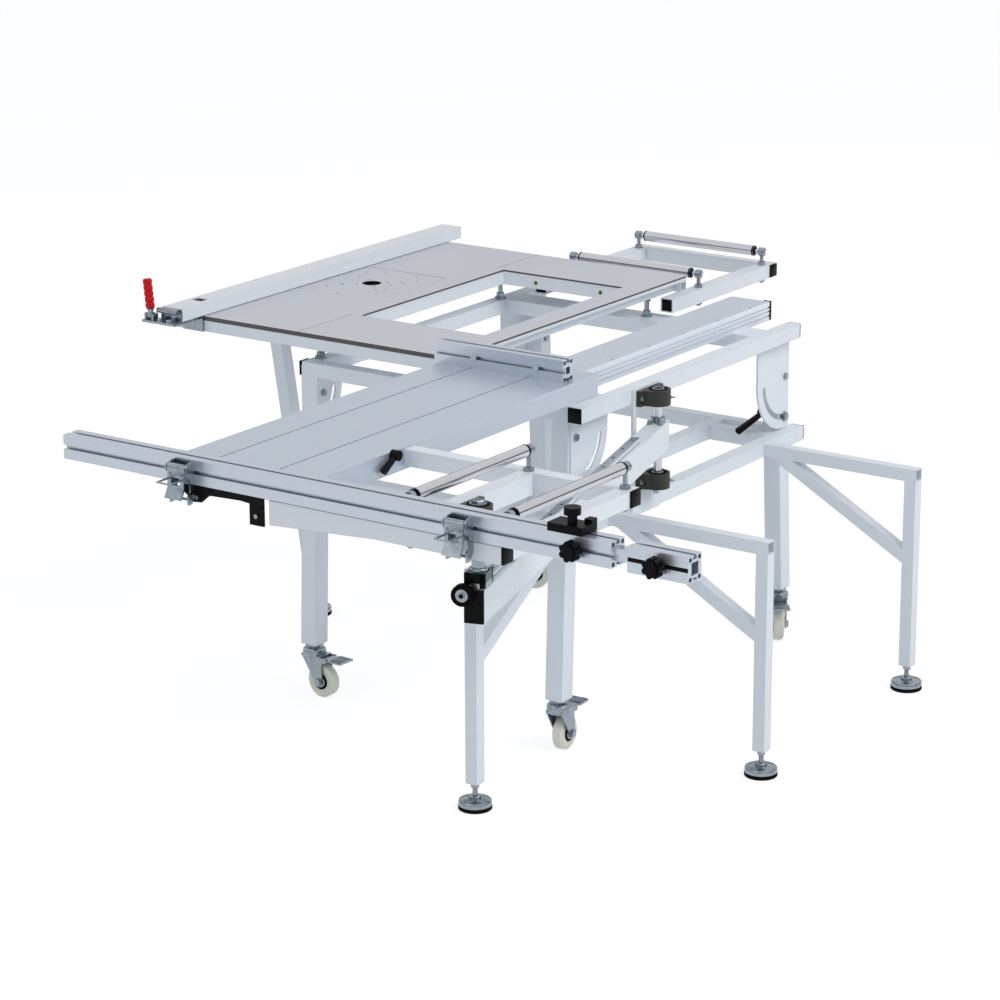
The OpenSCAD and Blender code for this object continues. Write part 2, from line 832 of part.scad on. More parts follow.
// Eye screw that stands through a tube, with nuts above and below it, eye along +X
module eye_screw(tube_z, tube_h, axis_z) {
    translate([0, 0, tube_z - screw_tail]) cylinder(r = screw_r, h = axis_z - tube_z + screw_tail - axle_r - 2);
    translate([0, 0, tube_z + tube_h]) cylinder(r = stand_nut_r, h = stand_nut_h, $fn = 6);
    translate([0, 0, tube_z - stand_nut_h]) cylinder(r = stand_nut_r, h = stand_nut_h, $fn = 6);
    difference() {
        rod_x(-eye_t / 2, eye_t / 2, 0, axis_z, eye_r);
        rod_x(-eye_t / 2 - eps, eye_t / 2 + eps, 0, axis_z, axle_r + running);
    }
}

ext_mids = [ext_left_x + tube_w / 2, ext_right_x + tube_w / 2];

module support_screws() {
    color(zinc) {
        for (p = table_bolts) table_screw(p);
        for (x = ext_mids, y = rear_roller_ys) translate([x, y, 0])
            eye_screw(ext_z, tube_w, roller_axis_z);
    }
}

// Rip fence and its clamp
module rip_fence() {
    color(white) difference() {
        tube_y(rip_front, rip_rear, rip_x, rip_z, rip_w, rip_h, rip_wall);
        translate([rip_x + rip_slot_x, rip_front + rip_slot_y, rip_z + rip_h - rip_wall - eps])
            cube([rip_slot_w, rip_slot_l, rip_wall + 2 * eps]);
    }
}

// Bracket in front of the fence, with a hook down the front of the table frame
module rip_clamp() {
    hook_y = table_front - clear - clamp_plate;
    hook_h = rip_z - clamp_plate - table_frame_z;
    rod_y0 = rip_front - clamp_plate - clamp_rod_r;
    rod_z = rip_z + rip_h - clamp_rod_r;
    ear_mid = handle_ear_gap + handle_ear_t / 2;
    color(zinc) {
        translate([rip_x, rip_front - clamp_plate, rip_z - clamp_plate]) cube([rip_w, clamp_plate, rip_h]);
        translate([rip_x, rip_front - clamp_plate, rip_z - clamp_plate])
            cube([rip_w, hook_y + 2 * clamp_plate - rip_front, clamp_plate]);
        translate([rip_x, hook_y, table_frame_z]) cube([rip_w, clamp_plate, hook_h + eps]);
        translate([clamp_left, rip_front - clamp_l, rip_z - clamp_plate])
            cube([rip_x + rip_w - clamp_left, clamp_l, clamp_plate]);
        rod_x(rip_x - 4, rip_x + rip_w - 4, rod_y0, rod_z, clamp_rod_r);
        translate([rip_x, rod_y0, rod_z - clamp_rod_r]) cube([rip_w - 4, clamp_rod_r, 2 * clamp_rod_r]);
        difference() {
            for (side = [-1, 1])
                translate([handle_x - handle_ear_t / 2 + side * ear_mid, handle_y - 9, rip_z - eps])
                    cube([handle_ear_t, 18, handle_z - rip_z + 7]);
            rod_x(handle_x - 20, handle_x + 20, handle_y, handle_z, handle_pin_r + running);
        }
    }
}

// Toggle handle with a ribbed grip, on a pin along X
module rip_handle() {
    root_w = 14;
    stem = 17;
    rib = 14;
    ribs = 5;
    rib_r = 11;
    pin_half = handle_ear_gap + handle_ear_t;
    color(red) {
        rod_x(handle_x - pin_half, handle_x + pin_half, handle_y, handle_z, handle_pin_r);
        rod_x(handle_x - root_w / 2, handle_x + root_w / 2, handle_y, handle_z, 8);
        translate([handle_x, handle_y, handle_z]) rotate([0, -handle_lean, 0]) {
            cylinder(r = 5, h = stem + 2);
            translate([0, 0, stem]) rotate_extrude() polygon(concat(
                [[0, 0]],
                [for (i = [0:ribs - 1], p = [[rib_r - 2, 0], [rib_r, 3], [rib_r, rib - 3]]) p + [0, i * rib]],
                [[rib_r - 2, ribs * rib], [0, ribs * rib]]
            ));
        }
    }
}

// Rear extension
module rear_frame() {
    color(white) difference() {
        union() {
            for (x = [ext_left_x, ext_right_x]) tube_y(ext_y, ext_rear, x, ext_z);
            tube_x(ext_left_x + tube_w, ext_right_x, ext_rear - tube_w, ext_z);
        }
        for (x = ext_mids, y = rear_roller_ys) translate([x, y, ext_z - eps])
            cylinder(r = screw_r, h = tube_w + 2 * eps);
    }
}

module rear_roller(y) {
    end_gap = 14;
    color(steel) {
        rod_x(ext_mids[0] + eye_t / 2 + end_gap, ext_mids[1] - eye_t / 2 - end_gap, y, roller_axis_z, roller_r);
        rod_x(ext_mids[0] - eye_t / 2 - 4, ext_mids[1] + eye_t / 2 + 4, y, roller_axis_z, axle_r);
    }
}

// Rail and sliding table
module slide_rail() {
    skin = rail_groove_d + rail_wall;
    cell = (rail_w - 2 * skin - rail_wall) / 2;
    color(alu) along_y(rail_front, rail_rear) difference() {
        translate([rail_x, frame_top]) square([rail_w, rail_h]);
        for (x = [rail_x - eps, rail_x + rail_w - rail_groove_d], z = rail_groove_zs)
            translate([x, rail_top - z - rail_groove_w]) square([rail_groove_d + eps, rail_groove_w]);
        translate([rail_x + rail_w - rail_ledge_w, rail_top - rail_groove_d])
            square([rail_groove_w, rail_groove_d + eps]);
        for (x = [rail_x + skin, rail_x + rail_w - skin - cell])
            translate([x, frame_top + rail_wall]) square([cell, rail_h - rail_wall - skin]);
    }
}

module rail_stop() {
    depth = 10;
    color(black) along_y(rail_rear, rail_rear + depth) polygon([
        [rail_x + rail_w / 2, frame_top], [rail_x + rail_w, frame_top],
        [rail_x + rail_w, rail_top], [rail_x + rail_w - 20, rail_top]
    ]);
}

module sliding_table() {
    under = slide_top - slide_plate;
    color(alu) difference() {
        along_y(slide_front, slide_rear) difference() {
            union() {
                translate([slide_x, under]) square([slide_w, slide_plate]);
                translate([slide_right - slide_skirt, rail_top - slide_skirt_drop])
                    square([slide_skirt, under - rail_top + slide_skirt_drop + eps]);
            }
            for (g = panel_grooves) translate([slide_x + g - groove_w / 2, slide_top - groove_d])
                square([groove_w, groove_d + eps]);
        }
        rod_x(slide_right - lever_stud_l, slide_right + eps, cross_lever_y, cross_lever_z, lever_stud_r + running);
    }
}

// Bearing blocks under the sliding table that run on the rail
module slide_bearings() {
    color(steel) for (y = bearing_ys)
        translate([rail_x + bearing_inset, y, rail_top + clear])
            cube([rail_w - 2 * bearing_inset, bearing_l, slide_top - slide_plate - rail_top - clear]);
}

// Undercut slot in an extrusion, opening towards +Y of the section
module slot_section() {
    translate([-slot_mouth / 2, -slot_deep]) square([slot_mouth, slot_deep + eps]);
    translate([-slot_wide / 2, -slot_deep]) square([slot_wide, slot_deep - slot_lip]);
}

// Fence extrusion section, lower corner at the origin, slots on top, front and bottom
module fence_section(d, h, core) {
    difference() {
        square([d, h]);
        translate([d / 2, h]) slot_section();
        translate([d / 2, 0]) rotate(180) slot_section();
        translate([0, h / 2]) rotate(90) slot_section();
        translate([d / 2 - core / 2, h / 2 - core / 2]) square([core, core]);
        corner_cells(d, h);
    }
}

// Hollow cells in the four corners of an extrusion
module corner_cells(d, h) {
    for (x = [cell_wall, d - cell_wall - cell_w], z = [cell_wall, h - cell_wall - cell_h])
        translate([x, z]) square([cell_w, cell_h]);
}

// Profile across the sliding table that holds the work's rear edge, with its two bolts
module clamp_profile() {
    bolt_r = 4;
    core = 16;
    color(alu) {
        along_x(profile_x, profile_x + profile_l)
            translate([profile_y, slide_top]) fence_section(profile_d, profile_h, core);
    }
    color(zinc) for (x = profile_bolts) {
        rod_y(profile_y - 2, profile_y + slot_deep - 1, profile_x + x, slide_top + profile_h / 2, bolt_r);
        translate([profile_x + x, profile_y, slide_top + profile_h / 2]) rotate([90, 0, 0])
            cylinder(r = 2 * bolt_r, h = 6, $fn = 6);
    }
}

// Crosscut frame
module cross_frame() {
    left = slide_right;
    in_front = cross_front + tube_w;
    in_rear = cross_rear - tube_w;
    color(white) difference() {
        union() {
            for (y = [cross_front, in_rear]) tube_x(left, cross_right, y, cross_z);
            along_y(cross_front, in_front) polygon([
                [left, cross_z + eps], [left, cross_z - gusset_h], [left + gusset_l, cross_z + eps]
            ]);
            tube_y(in_front, in_rear, mid_x, cross_z - mid_extra, tube_w, tube_w + mid_extra);
            tube_y(in_front, in_rear, outer_x, cross_z);
        }
        for (x = cross_roller_xs, y = cross_stand_ys) translate([x, y, cross_z - mid_extra - eps])
            cylinder(r = screw_r, h = tube_w + mid_extra + 2 * eps);
    }
}

cross_stand_ys = [
    cross_roller_mid - cross_roller_l / 2 - cross_stand_gap,
    cross_roller_mid + cross_roller_l / 2 + cross_stand_gap
];

module cross_lever() {
    face = slide_right + clear;
    hub_r = 11;
    hub_h = 18;
    grip_r = 6;
    color(black) {
        rod_x(slide_right - lever_stud_l + clear, face + eps, cross_lever_y, cross_lever_z, lever_stud_r);
        rod_x(face, face + hub_h, cross_lever_y, cross_lever_z, hub_r);
        translate([face + hub_h / 2, cross_lever_y, cross_lever_z]) rotate([120, 0, 0])
            cylinder(r1 = grip_r, r2 = grip_r + 2, h = cross_lever_l);
    }
}

module cross_roller_stands() {
    color(zinc) for (i = [0, 1], y = cross_stand_ys)
        translate([cross_roller_xs[i], y, 0]) rotate([0, 0, 90])
            eye_screw(cross_z - (i == 0 ? mid_extra : 0), tube_w + (i == 0 ? mid_extra : 0), cross_roller_z);
}

module cross_roller(i) {
    half = cross_roller_l / 2;
    reach = cross_stand_gap + eye_t / 2 + 4;
    color(steel) {
        rod_y(cross_roller_mid - half, cross_roller_mid + half, cross_roller_xs[i], cross_roller_z, roller_r);
        rod_y(cross_roller_mid - half - reach, cross_roller_mid + half + reach,
              cross_roller_xs[i], cross_roller_z, axle_r);
    }
}

// Pillow block with its base on the plane x = 0 and its bore along Z, base to the left
module pillow_block(axis_x, bore_r) {
    base_w = 20;
    difference() {
        union() {
            translate([axis_x, 0, 0]) cylinder(r = block_r, h = block_h);
            translate([0, -block_base_l / 2, 0]) cube([block_base_t, block_base_l, block_h]);
            translate([0, 0, 0]) linear_extrude(block_h) polygon([
                [0, -block_r - base_w / 2], [axis_x, -block_r], [axis_x, block_r], [0, block_r + base_w / 2]
            ]);
        }
        translate([axis_x, 0, -eps]) cylinder(r = bore_r, h = block_h + 2 * eps);
    }
}

// Bearing on the crosscut frame's middle member, with the bolt head above it
module pivot_bearing() {
    pin_z = post_top + pivot_gap;
    color(iron) translate([mid_x + tube_w, pivot_y, pivot_block_z]) {
        pillow_block(pivot_x - mid_x - tube_w, shaft_r);
        translate([pivot_x - mid_x - tube_w, 0, pin_z - pivot_block_z])
            cylinder(r = shaft_r, h = pivot_block_z - pin_z + block_h);
        translate([pivot_x - mid_x - tube_w, 0, block_h]) cylinder(r = 1.2 * shaft_r, h = 8, $fn = 6);
    }
}

// Crosscut fence
module crosscut_fence() {
    color(alu) along_x(fence_x, fence_right)
        translate([fence_y, fence_z]) fence_section(fence_d, fence_h, fence_core);
}

// Inner bar that slides in the fence's core, and the end block on it
module fence_extension() {
    bar = fence_core - 2 * core_gap;
    color(alu) difference() {
        union() {
            along_x(fence_right - ext_bar_in, end_block_x + eps)
                translate([fence_mid_y - bar / 2, fence_mid_z - bar / 2]) square([bar, bar]);
            along_x(end_block_x, fence_end) translate([fence_y, fence_z]) difference() {
                square([fence_d, fence_h]);
                translate([fence_d / 2, fence_h]) slot_section();
                translate([fence_d / 2, 0]) rotate(180) slot_section();
                corner_cells(fence_d, fence_h);
            }
        }
        along_x(fence_end - end_block_l / 4, fence_end + eps)
            translate([fence_mid_y - bar / 2, fence_mid_z - bar / 2]) square([bar, bar]);
        rod_y(fence_y - eps, fence_y + slot_deep, ext_knob_x, fence_mid_z, knob_stem_r + running);
    }
}

// Star knob on the fence's front face, with its stem in the slot
module star_knob(x) {
    lobe_r = 6;
    boss_r = 9;
    boss_h = 8;
    face = fence_y - clear;
    color(black) {
        rod_y(face - boss_h, fence_y + slot_deep - 1, x, fence_mid_z, knob_stem_r);
        rod_y(face - boss_h - eps, face, x, fence_mid_z, boss_r);
        translate([x, face - boss_h, fence_mid_z]) rotate([90, 0, 0]) {
            cylinder(r = knob_r - lobe_r, h = knob_h);
            for (i = [0:knob_lobes - 1]) rotate([0, 0, i * 360 / knob_lobes])
                translate([knob_r - lobe_r, 0, 0]) cylinder(r = lobe_r, h = knob_h - 3);
        }
    }
}

// Stop block on top of the fence, keyed into its top slot, with a thumbscrew and a lug
module stop_block() {
    top = fence_z + fence_h + clear;
    key_w = slot_mouth - 2 * clear;
    screw_x = stop_x + 44;
    screw_h = 40;
    lug_w = 16;
    color(black) {
        translate([stop_x, fence_y - 2, top]) cube([stop_l, fence_d, stop_h - 8]);
        translate([stop_x, fence_mid_y - key_w / 2, top - slot_lip - clear])
            cube([stop_l, key_w, slot_lip + clear + eps]);
        translate([screw_x, fence_mid_y - 8, top]) cylinder(r = 9, h = screw_h);
        translate([screw_x, fence_mid_y - 8, top + screw_h - 6]) cylinder(r = 16, h = 14);
        translate([stop_x + stop_l - lug_w, fence_y + fence_d - 14, top]) cube([lug_w, 18, stop_h]);
    }
}

// Brackets on the fence's front face: a back plate, two cheeks down past the fence and the hinge pin
module stop_carriers() {
    pin_gap = 3;
    plate_h = fence_h - 2;
    rail_gap = 3;
    ear_z = rail_top + rail_gap;
    foot_pin_y = fence_y - 16;
    foot_pin_r = 3;
    color(zinc) for (x = flip_xs) {
        translate([x, fence_y - carrier_t, fence_z]) cube([flip_w, carrier_t, plate_h]);
        for (side = [0, flip_w - cheek_t]) along_x(x + side, x + side + cheek_t) polygon([
            [fence_y, fence_z + plate_h], [fence_y - 14, fence_z + plate_h],
            [flip_pin_y - 9, flip_pin_z + 4], [flip_pin_y - 9, flip_pin_z - 6],
            [fence_y - 16, flip_pin_z - 21], [fence_y - 14, fence_z - 9],
            [fence_y - 22, ear_z + 18], [fence_y - 22, ear_z],
            [fence_y - 10, ear_z], [fence_y, ear_z + 18]
        ]);
        rod_x(x - pin_gap, x + flip_w + pin_gap, flip_pin_y, flip_pin_z, flip_pin_r);
        rod_x(x, x + flip_w, foot_pin_y, ear_z + 10, foot_pin_r);
    }
}

// Flap on its pin: a stamped plate with a window and a curled toe, and a wire bail in front
module flip_stop(i) {
    side_gap = 0.5;
    w = flip_w - 2 * cheek_t - 2 * side_gap;
    x0 = flip_xs[i] + cheek_t + side_gap;
    front = flip_pin_y - flip_barrel_r;
    foot_z = flip_pin_z - flip_drop;
    window = 9;
    bail_z = flip_pin_z - 22;
    bail_y = flip_pin_y - flip_reach + bail_r;
    color(zinc) difference() {
        union() {
            along_x(x0, x0 + w) {
                translate([flip_pin_y, flip_pin_z]) circle(r = flip_barrel_r);
                polygon([
                    [front, flip_pin_z], [front + 4, flip_pin_z], [front + 6, foot_z + 22],
                    [front - 6, foot_z], [front - 10, foot_z + 2], [front + 1.5, foot_z + 24]
                ]);
            }
            for (x = [x0 + 4, x0 + w - 4]) {
                rod_y(bail_y, front + 3, x, bail_z, bail_r);
                translate([x, bail_y, bail_z]) sphere(r = bail_r);
            }
            rod_x(x0 + 4, x0 + w - 4, bail_y, bail_z, bail_r);
        }
        rod_x(x0 - eps, x0 + w + eps, flip_pin_y, flip_pin_z, flip_pin_r + running);
        translate([x0 + window, front - eps, foot_z + 27]) cube([w - 2 * window, 9, 16]);
    }
}

// Swing arm
module at_shaft() {
    translate([shaft_x, shaft_y, 0]) rotate([0, 0, arm_angle - 90]) children();
}

module bearing_blocks() {
    color(iron) for (z = block_zs) translate([block_face, shaft_y, z])
        pillow_block(shaft_x - block_face, shaft_r + running);
}

module swing_shaft() {
    color(steel) translate([shaft_x, shaft_y, shaft_z0]) cylinder(r = shaft_r, h = shaft_z1 - shaft_z0);
}

// Box beam with a solid clamp end on the shaft and a guide rail along its top
module swing_arm() {
    color(white) at_shaft() difference() {
        union() {
            translate([-arm_tail, -arm_w / 2, arm_z]) cube([arm_tail + arm_end, arm_w, arm_h]);
            translate([arm_rail_start, -arm_rail_w / 2, arm_top - eps])
                cube([arm_end - arm_rail_start, arm_rail_w, arm_rail_h + eps]);
        }
        translate([0, 0, arm_z - eps]) cylinder(r = shaft_r, h = arm_h + 2 * eps);
        translate([arm_solid, -arm_w / 2 + arm_wall, arm_z + arm_wall])
            cube([arm_end, arm_w - 2 * arm_wall, arm_h - 2 * arm_wall]);
    }
}

// Rail carriage with the post that reaches up to the crosscut frame's bearing
module arm_carriage() {
    z0 = arm_top + 3;
    channel = arm_rail_w + 2 * clear;
    color(steel) at_shaft() translate([arm_reach, 0, 0]) {
        difference() {
            translate([-carriage_l / 2, -carriage_w / 2, z0]) cube([carriage_l, carriage_w, carriage_h]);
            translate([-carriage_l, -channel / 2, arm_top - eps])
                cube([2 * carriage_l, channel, arm_rail_h + clear + eps]);
        }
        translate([0, 0, z0 + carriage_h]) cylinder(r = post_r, h = post_top - z0 - carriage_h);
    }
}

// End cover of the arm with the small wheel's axle
module arm_bracket() {
    cap = 5;
    lug_w = 24;
    axle = 5;
    color(black) at_shaft() {
        translate([arm_end, -arm_w / 2, arm_z]) cube([cap, arm_w, arm_h]);
        translate([arm_end, arm_wheel_v - lug_w / 2, arm_wheel_z - lug_w / 2]) cube([cap, lug_w, lug_w]);
        rod_x(arm_end + cap - eps, arm_end + cap + arm_wheel_w + 3, arm_wheel_v, arm_wheel_z, axle);
    }
}

module arm_wheel() {
    cap = 5;
    axle = 5;
    color(black) at_shaft() difference() {
        rod_x(arm_end + cap + clear, arm_end + cap + clear + arm_wheel_w, arm_wheel_v, arm_wheel_z, arm_wheel_r);
        rod_x(arm_end, arm_end + cap + arm_wheel_w + 5, arm_wheel_v, arm_wheel_z, axle + running);
    }
}

module place() {
    translate([-origin_x, -origin_y, 0]) children();
}

module shown(name) {
    place() children();
}

shown("upper_frame") upper_frame();
shown("lower_frame") lower_frame();
shown("front_legs") front_legs();
shown("rear_legs") rear_legs();
shown("fold_bolts") fold_bolts();
shown("leg_lever") leg_lever();
shown("caster_heads") caster_heads();
for (i = [0:3]) {
    shown(str("caster_fork_", corners[i])) caster_fork(i);
    shown(str("caster_wheel_", corners[i])) caster_wheel(i);
    shown(str("caster_pedal_", corners[i])) caster_pedal(i);
}
shown("outriggers") outriggers();
shown("side_leg") side_leg();
shown("foot_front") levelling_foot(out_x, foot_front_y);
shown("foot_middle") levelling_foot(foot_side_x, out_mid_y);
shown("foot_rear") levelling_foot(foot_side_x, out_rear_y);
shown("foot_side") levelling_foot(side_leg_x, side_leg_foot_y);
shown("table_top") table_top();
shown("router_insert") router_insert();
shown("table_frame") table_frame();
shown("support_screws") support_screws();
shown("rip_fence") rip_fence();
shown("rip_clamp") rip_clamp();
shown("rip_handle") rip_handle();
shown("rear_frame") rear_frame();
shown("rear_roller_near") rear_roller(rear_roller_ys[0]);
shown("rear_roller_far") rear_roller(rear_roller_ys[1]);
shown("slide_rail") slide_rail();
shown("rail_stop") rail_stop();
shown("sliding_table") sliding_table();
shown("slide_bearings") slide_bearings();
shown("clamp_profile") clamp_profile();
shown("cross_frame") cross_frame();
shown("cross_lever") cross_lever();
shown("cross_roller_stands") cross_roller_stands();
shown("cross_roller_inner") cross_roller(0);
shown("cross_roller_outer") cross_roller(1);
shown("pivot_bearing") pivot_bearing();
shown("crosscut_fence") crosscut_fence();
shown("fence_extension") fence_extension();
shown("fence_knob") star_knob(fence_knob_x);
shown("extension_knob") star_knob(ext_knob_x);
shown("stop_block") stop_block();
shown("stop_carriers") stop_carriers();
shown("flip_stop_left") flip_stop(0);
shown("flip_stop_right") flip_stop(1);
shown("bearing_blocks") bearing_blocks();
shown("swing_shaft") swing_shaft();
shown("swing_arm") swing_arm();
shown("arm_carriage") arm_carriage();
shown("arm_bracket") arm_bracket();
shown("arm_wheel") arm_wheel();
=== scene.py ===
# %% [markdown]
# # A sliding table saw bench, dressed for a studio photograph
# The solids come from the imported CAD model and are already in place. This lesson gives them real
# finishes, adds the small trim that a drawing leaves out, and lights the bench as a studio would.

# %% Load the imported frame
import json
import math

import bmesh
import bpy
from mathutils import Matrix, Vector


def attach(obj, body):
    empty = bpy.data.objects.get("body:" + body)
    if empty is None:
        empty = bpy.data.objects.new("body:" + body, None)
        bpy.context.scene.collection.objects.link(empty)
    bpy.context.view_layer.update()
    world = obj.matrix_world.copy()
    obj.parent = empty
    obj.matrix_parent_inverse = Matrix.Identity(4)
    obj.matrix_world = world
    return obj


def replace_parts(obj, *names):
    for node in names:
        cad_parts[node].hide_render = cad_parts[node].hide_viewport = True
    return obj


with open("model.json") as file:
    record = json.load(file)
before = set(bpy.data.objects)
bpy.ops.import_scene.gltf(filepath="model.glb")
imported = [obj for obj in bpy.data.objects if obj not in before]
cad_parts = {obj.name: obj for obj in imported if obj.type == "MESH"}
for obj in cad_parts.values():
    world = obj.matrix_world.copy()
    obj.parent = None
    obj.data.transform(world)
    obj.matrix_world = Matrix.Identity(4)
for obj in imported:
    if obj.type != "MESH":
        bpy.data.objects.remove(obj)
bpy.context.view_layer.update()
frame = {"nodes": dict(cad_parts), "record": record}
slot_of = {part["node"]: part["material_slot"] for part in frame["record"]["subparts"]}
scene = bpy.context.scene
scene.view_settings.view_transform = "Standard"

# %% [markdown]
# ## The camera
# The photograph was taken from the front right corner, a little above the table, with a long lens.
# A camera can be aimed by hand, but this one was solved from the straight tubes of the stand, so
# its place and angles are simply written down.

# %% Camera
YAW, PITCH, ROLL = (math.radians(a) for a in (34.664, 16.566, -0.206))
CAMERA_PLACE = (3.9801, -6.0064, 2.7267)
SENSOR_MM, LENS_PER_SENSOR = 36.0, 3.3139
camera_data = bpy.data.cameras.new("photo_camera")
camera_data.sensor_width = SENSOR_MM
camera_data.lens = SENSOR_MM * LENS_PER_SENSOR
camera = bpy.data.objects.new("photo_camera", camera_data)
camera.matrix_world = (
    Matrix.Translation(CAMERA_PLACE)
    @ Matrix.Rotation(YAW, 4, "Z")
    @ Matrix.Rotation(math.pi / 2 - PITCH, 4, "X")
    @ Matrix.Rotation(ROLL, 4, "Z")
)
scene.collection.objects.link(camera)
scene.camera = camera
print("lens", round(camera_data.lens, 1), "mm")

# %% [markdown]
# ## Helpers for node trees
# Materials, the world and Geometry Nodes are all node trees, so one small function that adds a
# node, sets it and links it serves them all. Some nodes have several sockets of the same name, and
# those are picked by number. Colours are written as the hex values that a colour picker shows, and
# one function turns them into the linear light that shaders work in.

# %% Node and colour helpers
FACTOR, COLOUR_A, COLOUR_B, MIXED = 0, 6, 7, 2
VALUE, FROM_MIN, FROM_MAX, TO_MIN, TO_MAX = range(5)
WHITE = (1, 1, 1, 1)


def add(tree, kind, links=None, **settings):
    node = tree.nodes.new(kind)
    for key, value in settings.items():
        setattr(node, key, value)
    for key, value in (links or {}).items():
        if isinstance(value, bpy.types.NodeSocket):
            tree.links.new(value, node.inputs[key])
        else:
            node.inputs[key].default_value = value
    return node


def new_finish(name):
    finish = bpy.data.materials.new(name)
    finish.use_nodes = True
    finish.node_tree.nodes.clear()
    return finish, finish.node_tree


def linear(code):
    channels = [int(code[i:i + 2], 16) / 255 for i in (1, 3, 5)]
    light = [c / 12.92 if c <= 0.04045 else ((c + 0.055) / 1.055) ** 2.4 for c in channels]
    return (*light, 1.0)


def dimmed(code, share):
    return (*(c * share for c in linear(code)[:3]), 1.0)


def per_metre(size_mm):
    return 1000.0 / size_mm


print("a mid grey in linear light", round(linear("#808080")[0], 3))

# %% [markdown]
# ## Studio light
# A bright dome gives the soft base light. Metal needs something to mirror, so reflections see a
# dome that is white overhead and falls to a dark band just above the horizon, like the unlit far
# walls of a studio. That band is what makes chrome and zinc read as metal.

# %% World dome
world = bpy.data.worlds.new("studio_dome")
scene.world = world
world.use_nodes = True
tree = world.node_tree
tree.nodes.clear()
path = add(tree, "ShaderNodeLightPath")
seen = add(tree, "ShaderNodeMath", {
    0: path.outputs["Is Camera Ray"], 1: path.outputs["Is Transmission Ray"]}, operation="MAXIMUM")
ray = add(tree, "ShaderNodeTexCoord").outputs["Generated"]
skyward = add(tree, "ShaderNodeSeparateXYZ", {"Vector": ray})
wall = add(tree, "ShaderNodeMapRange", {
    VALUE: skyward.outputs["Z"], FROM_MIN: 0.05, FROM_MAX: 0.30, TO_MIN: 0.04, TO_MAX: 1.0},
    interpolation_type="SMOOTHSTEP")
dome_light = add(tree, "ShaderNodeBackground", {"Color": linear("#f6f9ff"), "Strength": 0.56})
dome_mirrored = add(tree, "ShaderNodeBackground", {"Color": WHITE, "Strength": wall.outputs[0]})
dome_white = add(tree, "ShaderNodeBackground", {"Color": WHITE, "Strength": 1.0})
metal_sees = add(tree, "ShaderNodeMixShader", {
    FACTOR: path.outputs["Is Glossy Ray"], 1: dome_light.outputs[0], 2: dome_mirrored.outputs[0]})
dome = add(tree, "ShaderNodeMixShader", {
    FACTOR: seen.outputs[0], 1: metal_sees.outputs[0], 2: dome_white.outputs[0]})
add(tree, "ShaderNodeOutputWorld", {"Surface": dome.outputs[0]})
print("dome nodes", len(tree.nodes))

# %% [markdown]
# ## Floor
# The bench stands on a white seamless sweep. The camera and mirrors see paper that glows, so that it
# reads as white, and it still takes the shadow of the bench. Every other ray meets plain pale paper,
# which throws a natural light back up.

# %% Paper sweep
FLOOR_HALF, FLOOR_LEVEL = 30, -0.001
sweep, tree = new_finish("white_paper_sweep")
path = add(tree, "ShaderNodeLightPath")
paper = add(tree, "ShaderNodeBsdfDiffuse", {"Color": (0.42, 0.42, 0.42, 1)})
paper_lit = add(tree, "ShaderNodeBsdfDiffuse", {"Color": (0.75, 0.77, 0.80, 1)})
glow = add(tree, "ShaderNodeEmission", {"Color": WHITE, "Strength": 0.75})
seen_paper = add(tree, "ShaderNodeAddShader", {0: paper.outputs[0], 1: glow.outputs[0]})
seen = add(tree, "ShaderNodeMath", {
    0: path.outputs["Is Camera Ray"], 1: path.outputs["Is Glossy Ray"]}, operation="MAXIMUM")
both = add(tree, "ShaderNodeMixShader", {
    FACTOR: seen.outputs[0], 1: paper_lit.outputs[0], 2: seen_paper.outputs[0]})
add(tree, "ShaderNodeOutputMaterial", {"Surface": both.outputs[0]})

floor_mesh = bpy.data.meshes.new("floor_sweep")
floor_mesh.from_pydata(
    [(x * FLOOR_HALF, y * FLOOR_HALF, FLOOR_LEVEL) for x, y in ((-1, -1), (1, -1), (1, 1), (-1, 1))],
    [], [(0, 1, 2, 3)])
floor_mesh.materials.append(sweep)
floor = bpy.data.objects.new("floor_sweep", floor_mesh)
scene.collection.objects.link(floor)
print("floor", 2 * FLOOR_HALF, "m wide")

# %% [markdown]
# ## Soft boxes
# A large soft box on the crosscut side makes the right-hand faces lighter than the front ones, as in
# the photograph. A weaker one fills the front. Both aim at the middle of the bench.

# %% Lamps
BENCH_MIDDLE = Vector((0, 0, 0.6))
BOX_SIZE = 4.0


def soft_box(name, place, power):
    data = bpy.data.lights.new(name, "AREA")
    data.shape = "SQUARE"
    data.size = BOX_SIZE
    data.energy = power
    aim = (BENCH_MIDDLE - Vector(place)).to_track_quat("-Z", "Y")
    lamp = bpy.data.objects.new(name, data)
    lamp.matrix_world = Matrix.Translation(place) @ aim.to_matrix().to_4x4()
    scene.collection.objects.link(lamp)


soft_box("key_box", (6.0, 0.2, 6.2), 265.0)
soft_box("front_box", (-1.5, -7.5, 4.5), 75.0)

# %% [markdown]
# ## Painted steel
# Each finish starts from what the real material is. The white steel is powder coated, which melts
# to a faint orange peel. The cast housings have a coarser hammer paint. Both are a skin with small
# bumps, so one function makes them.

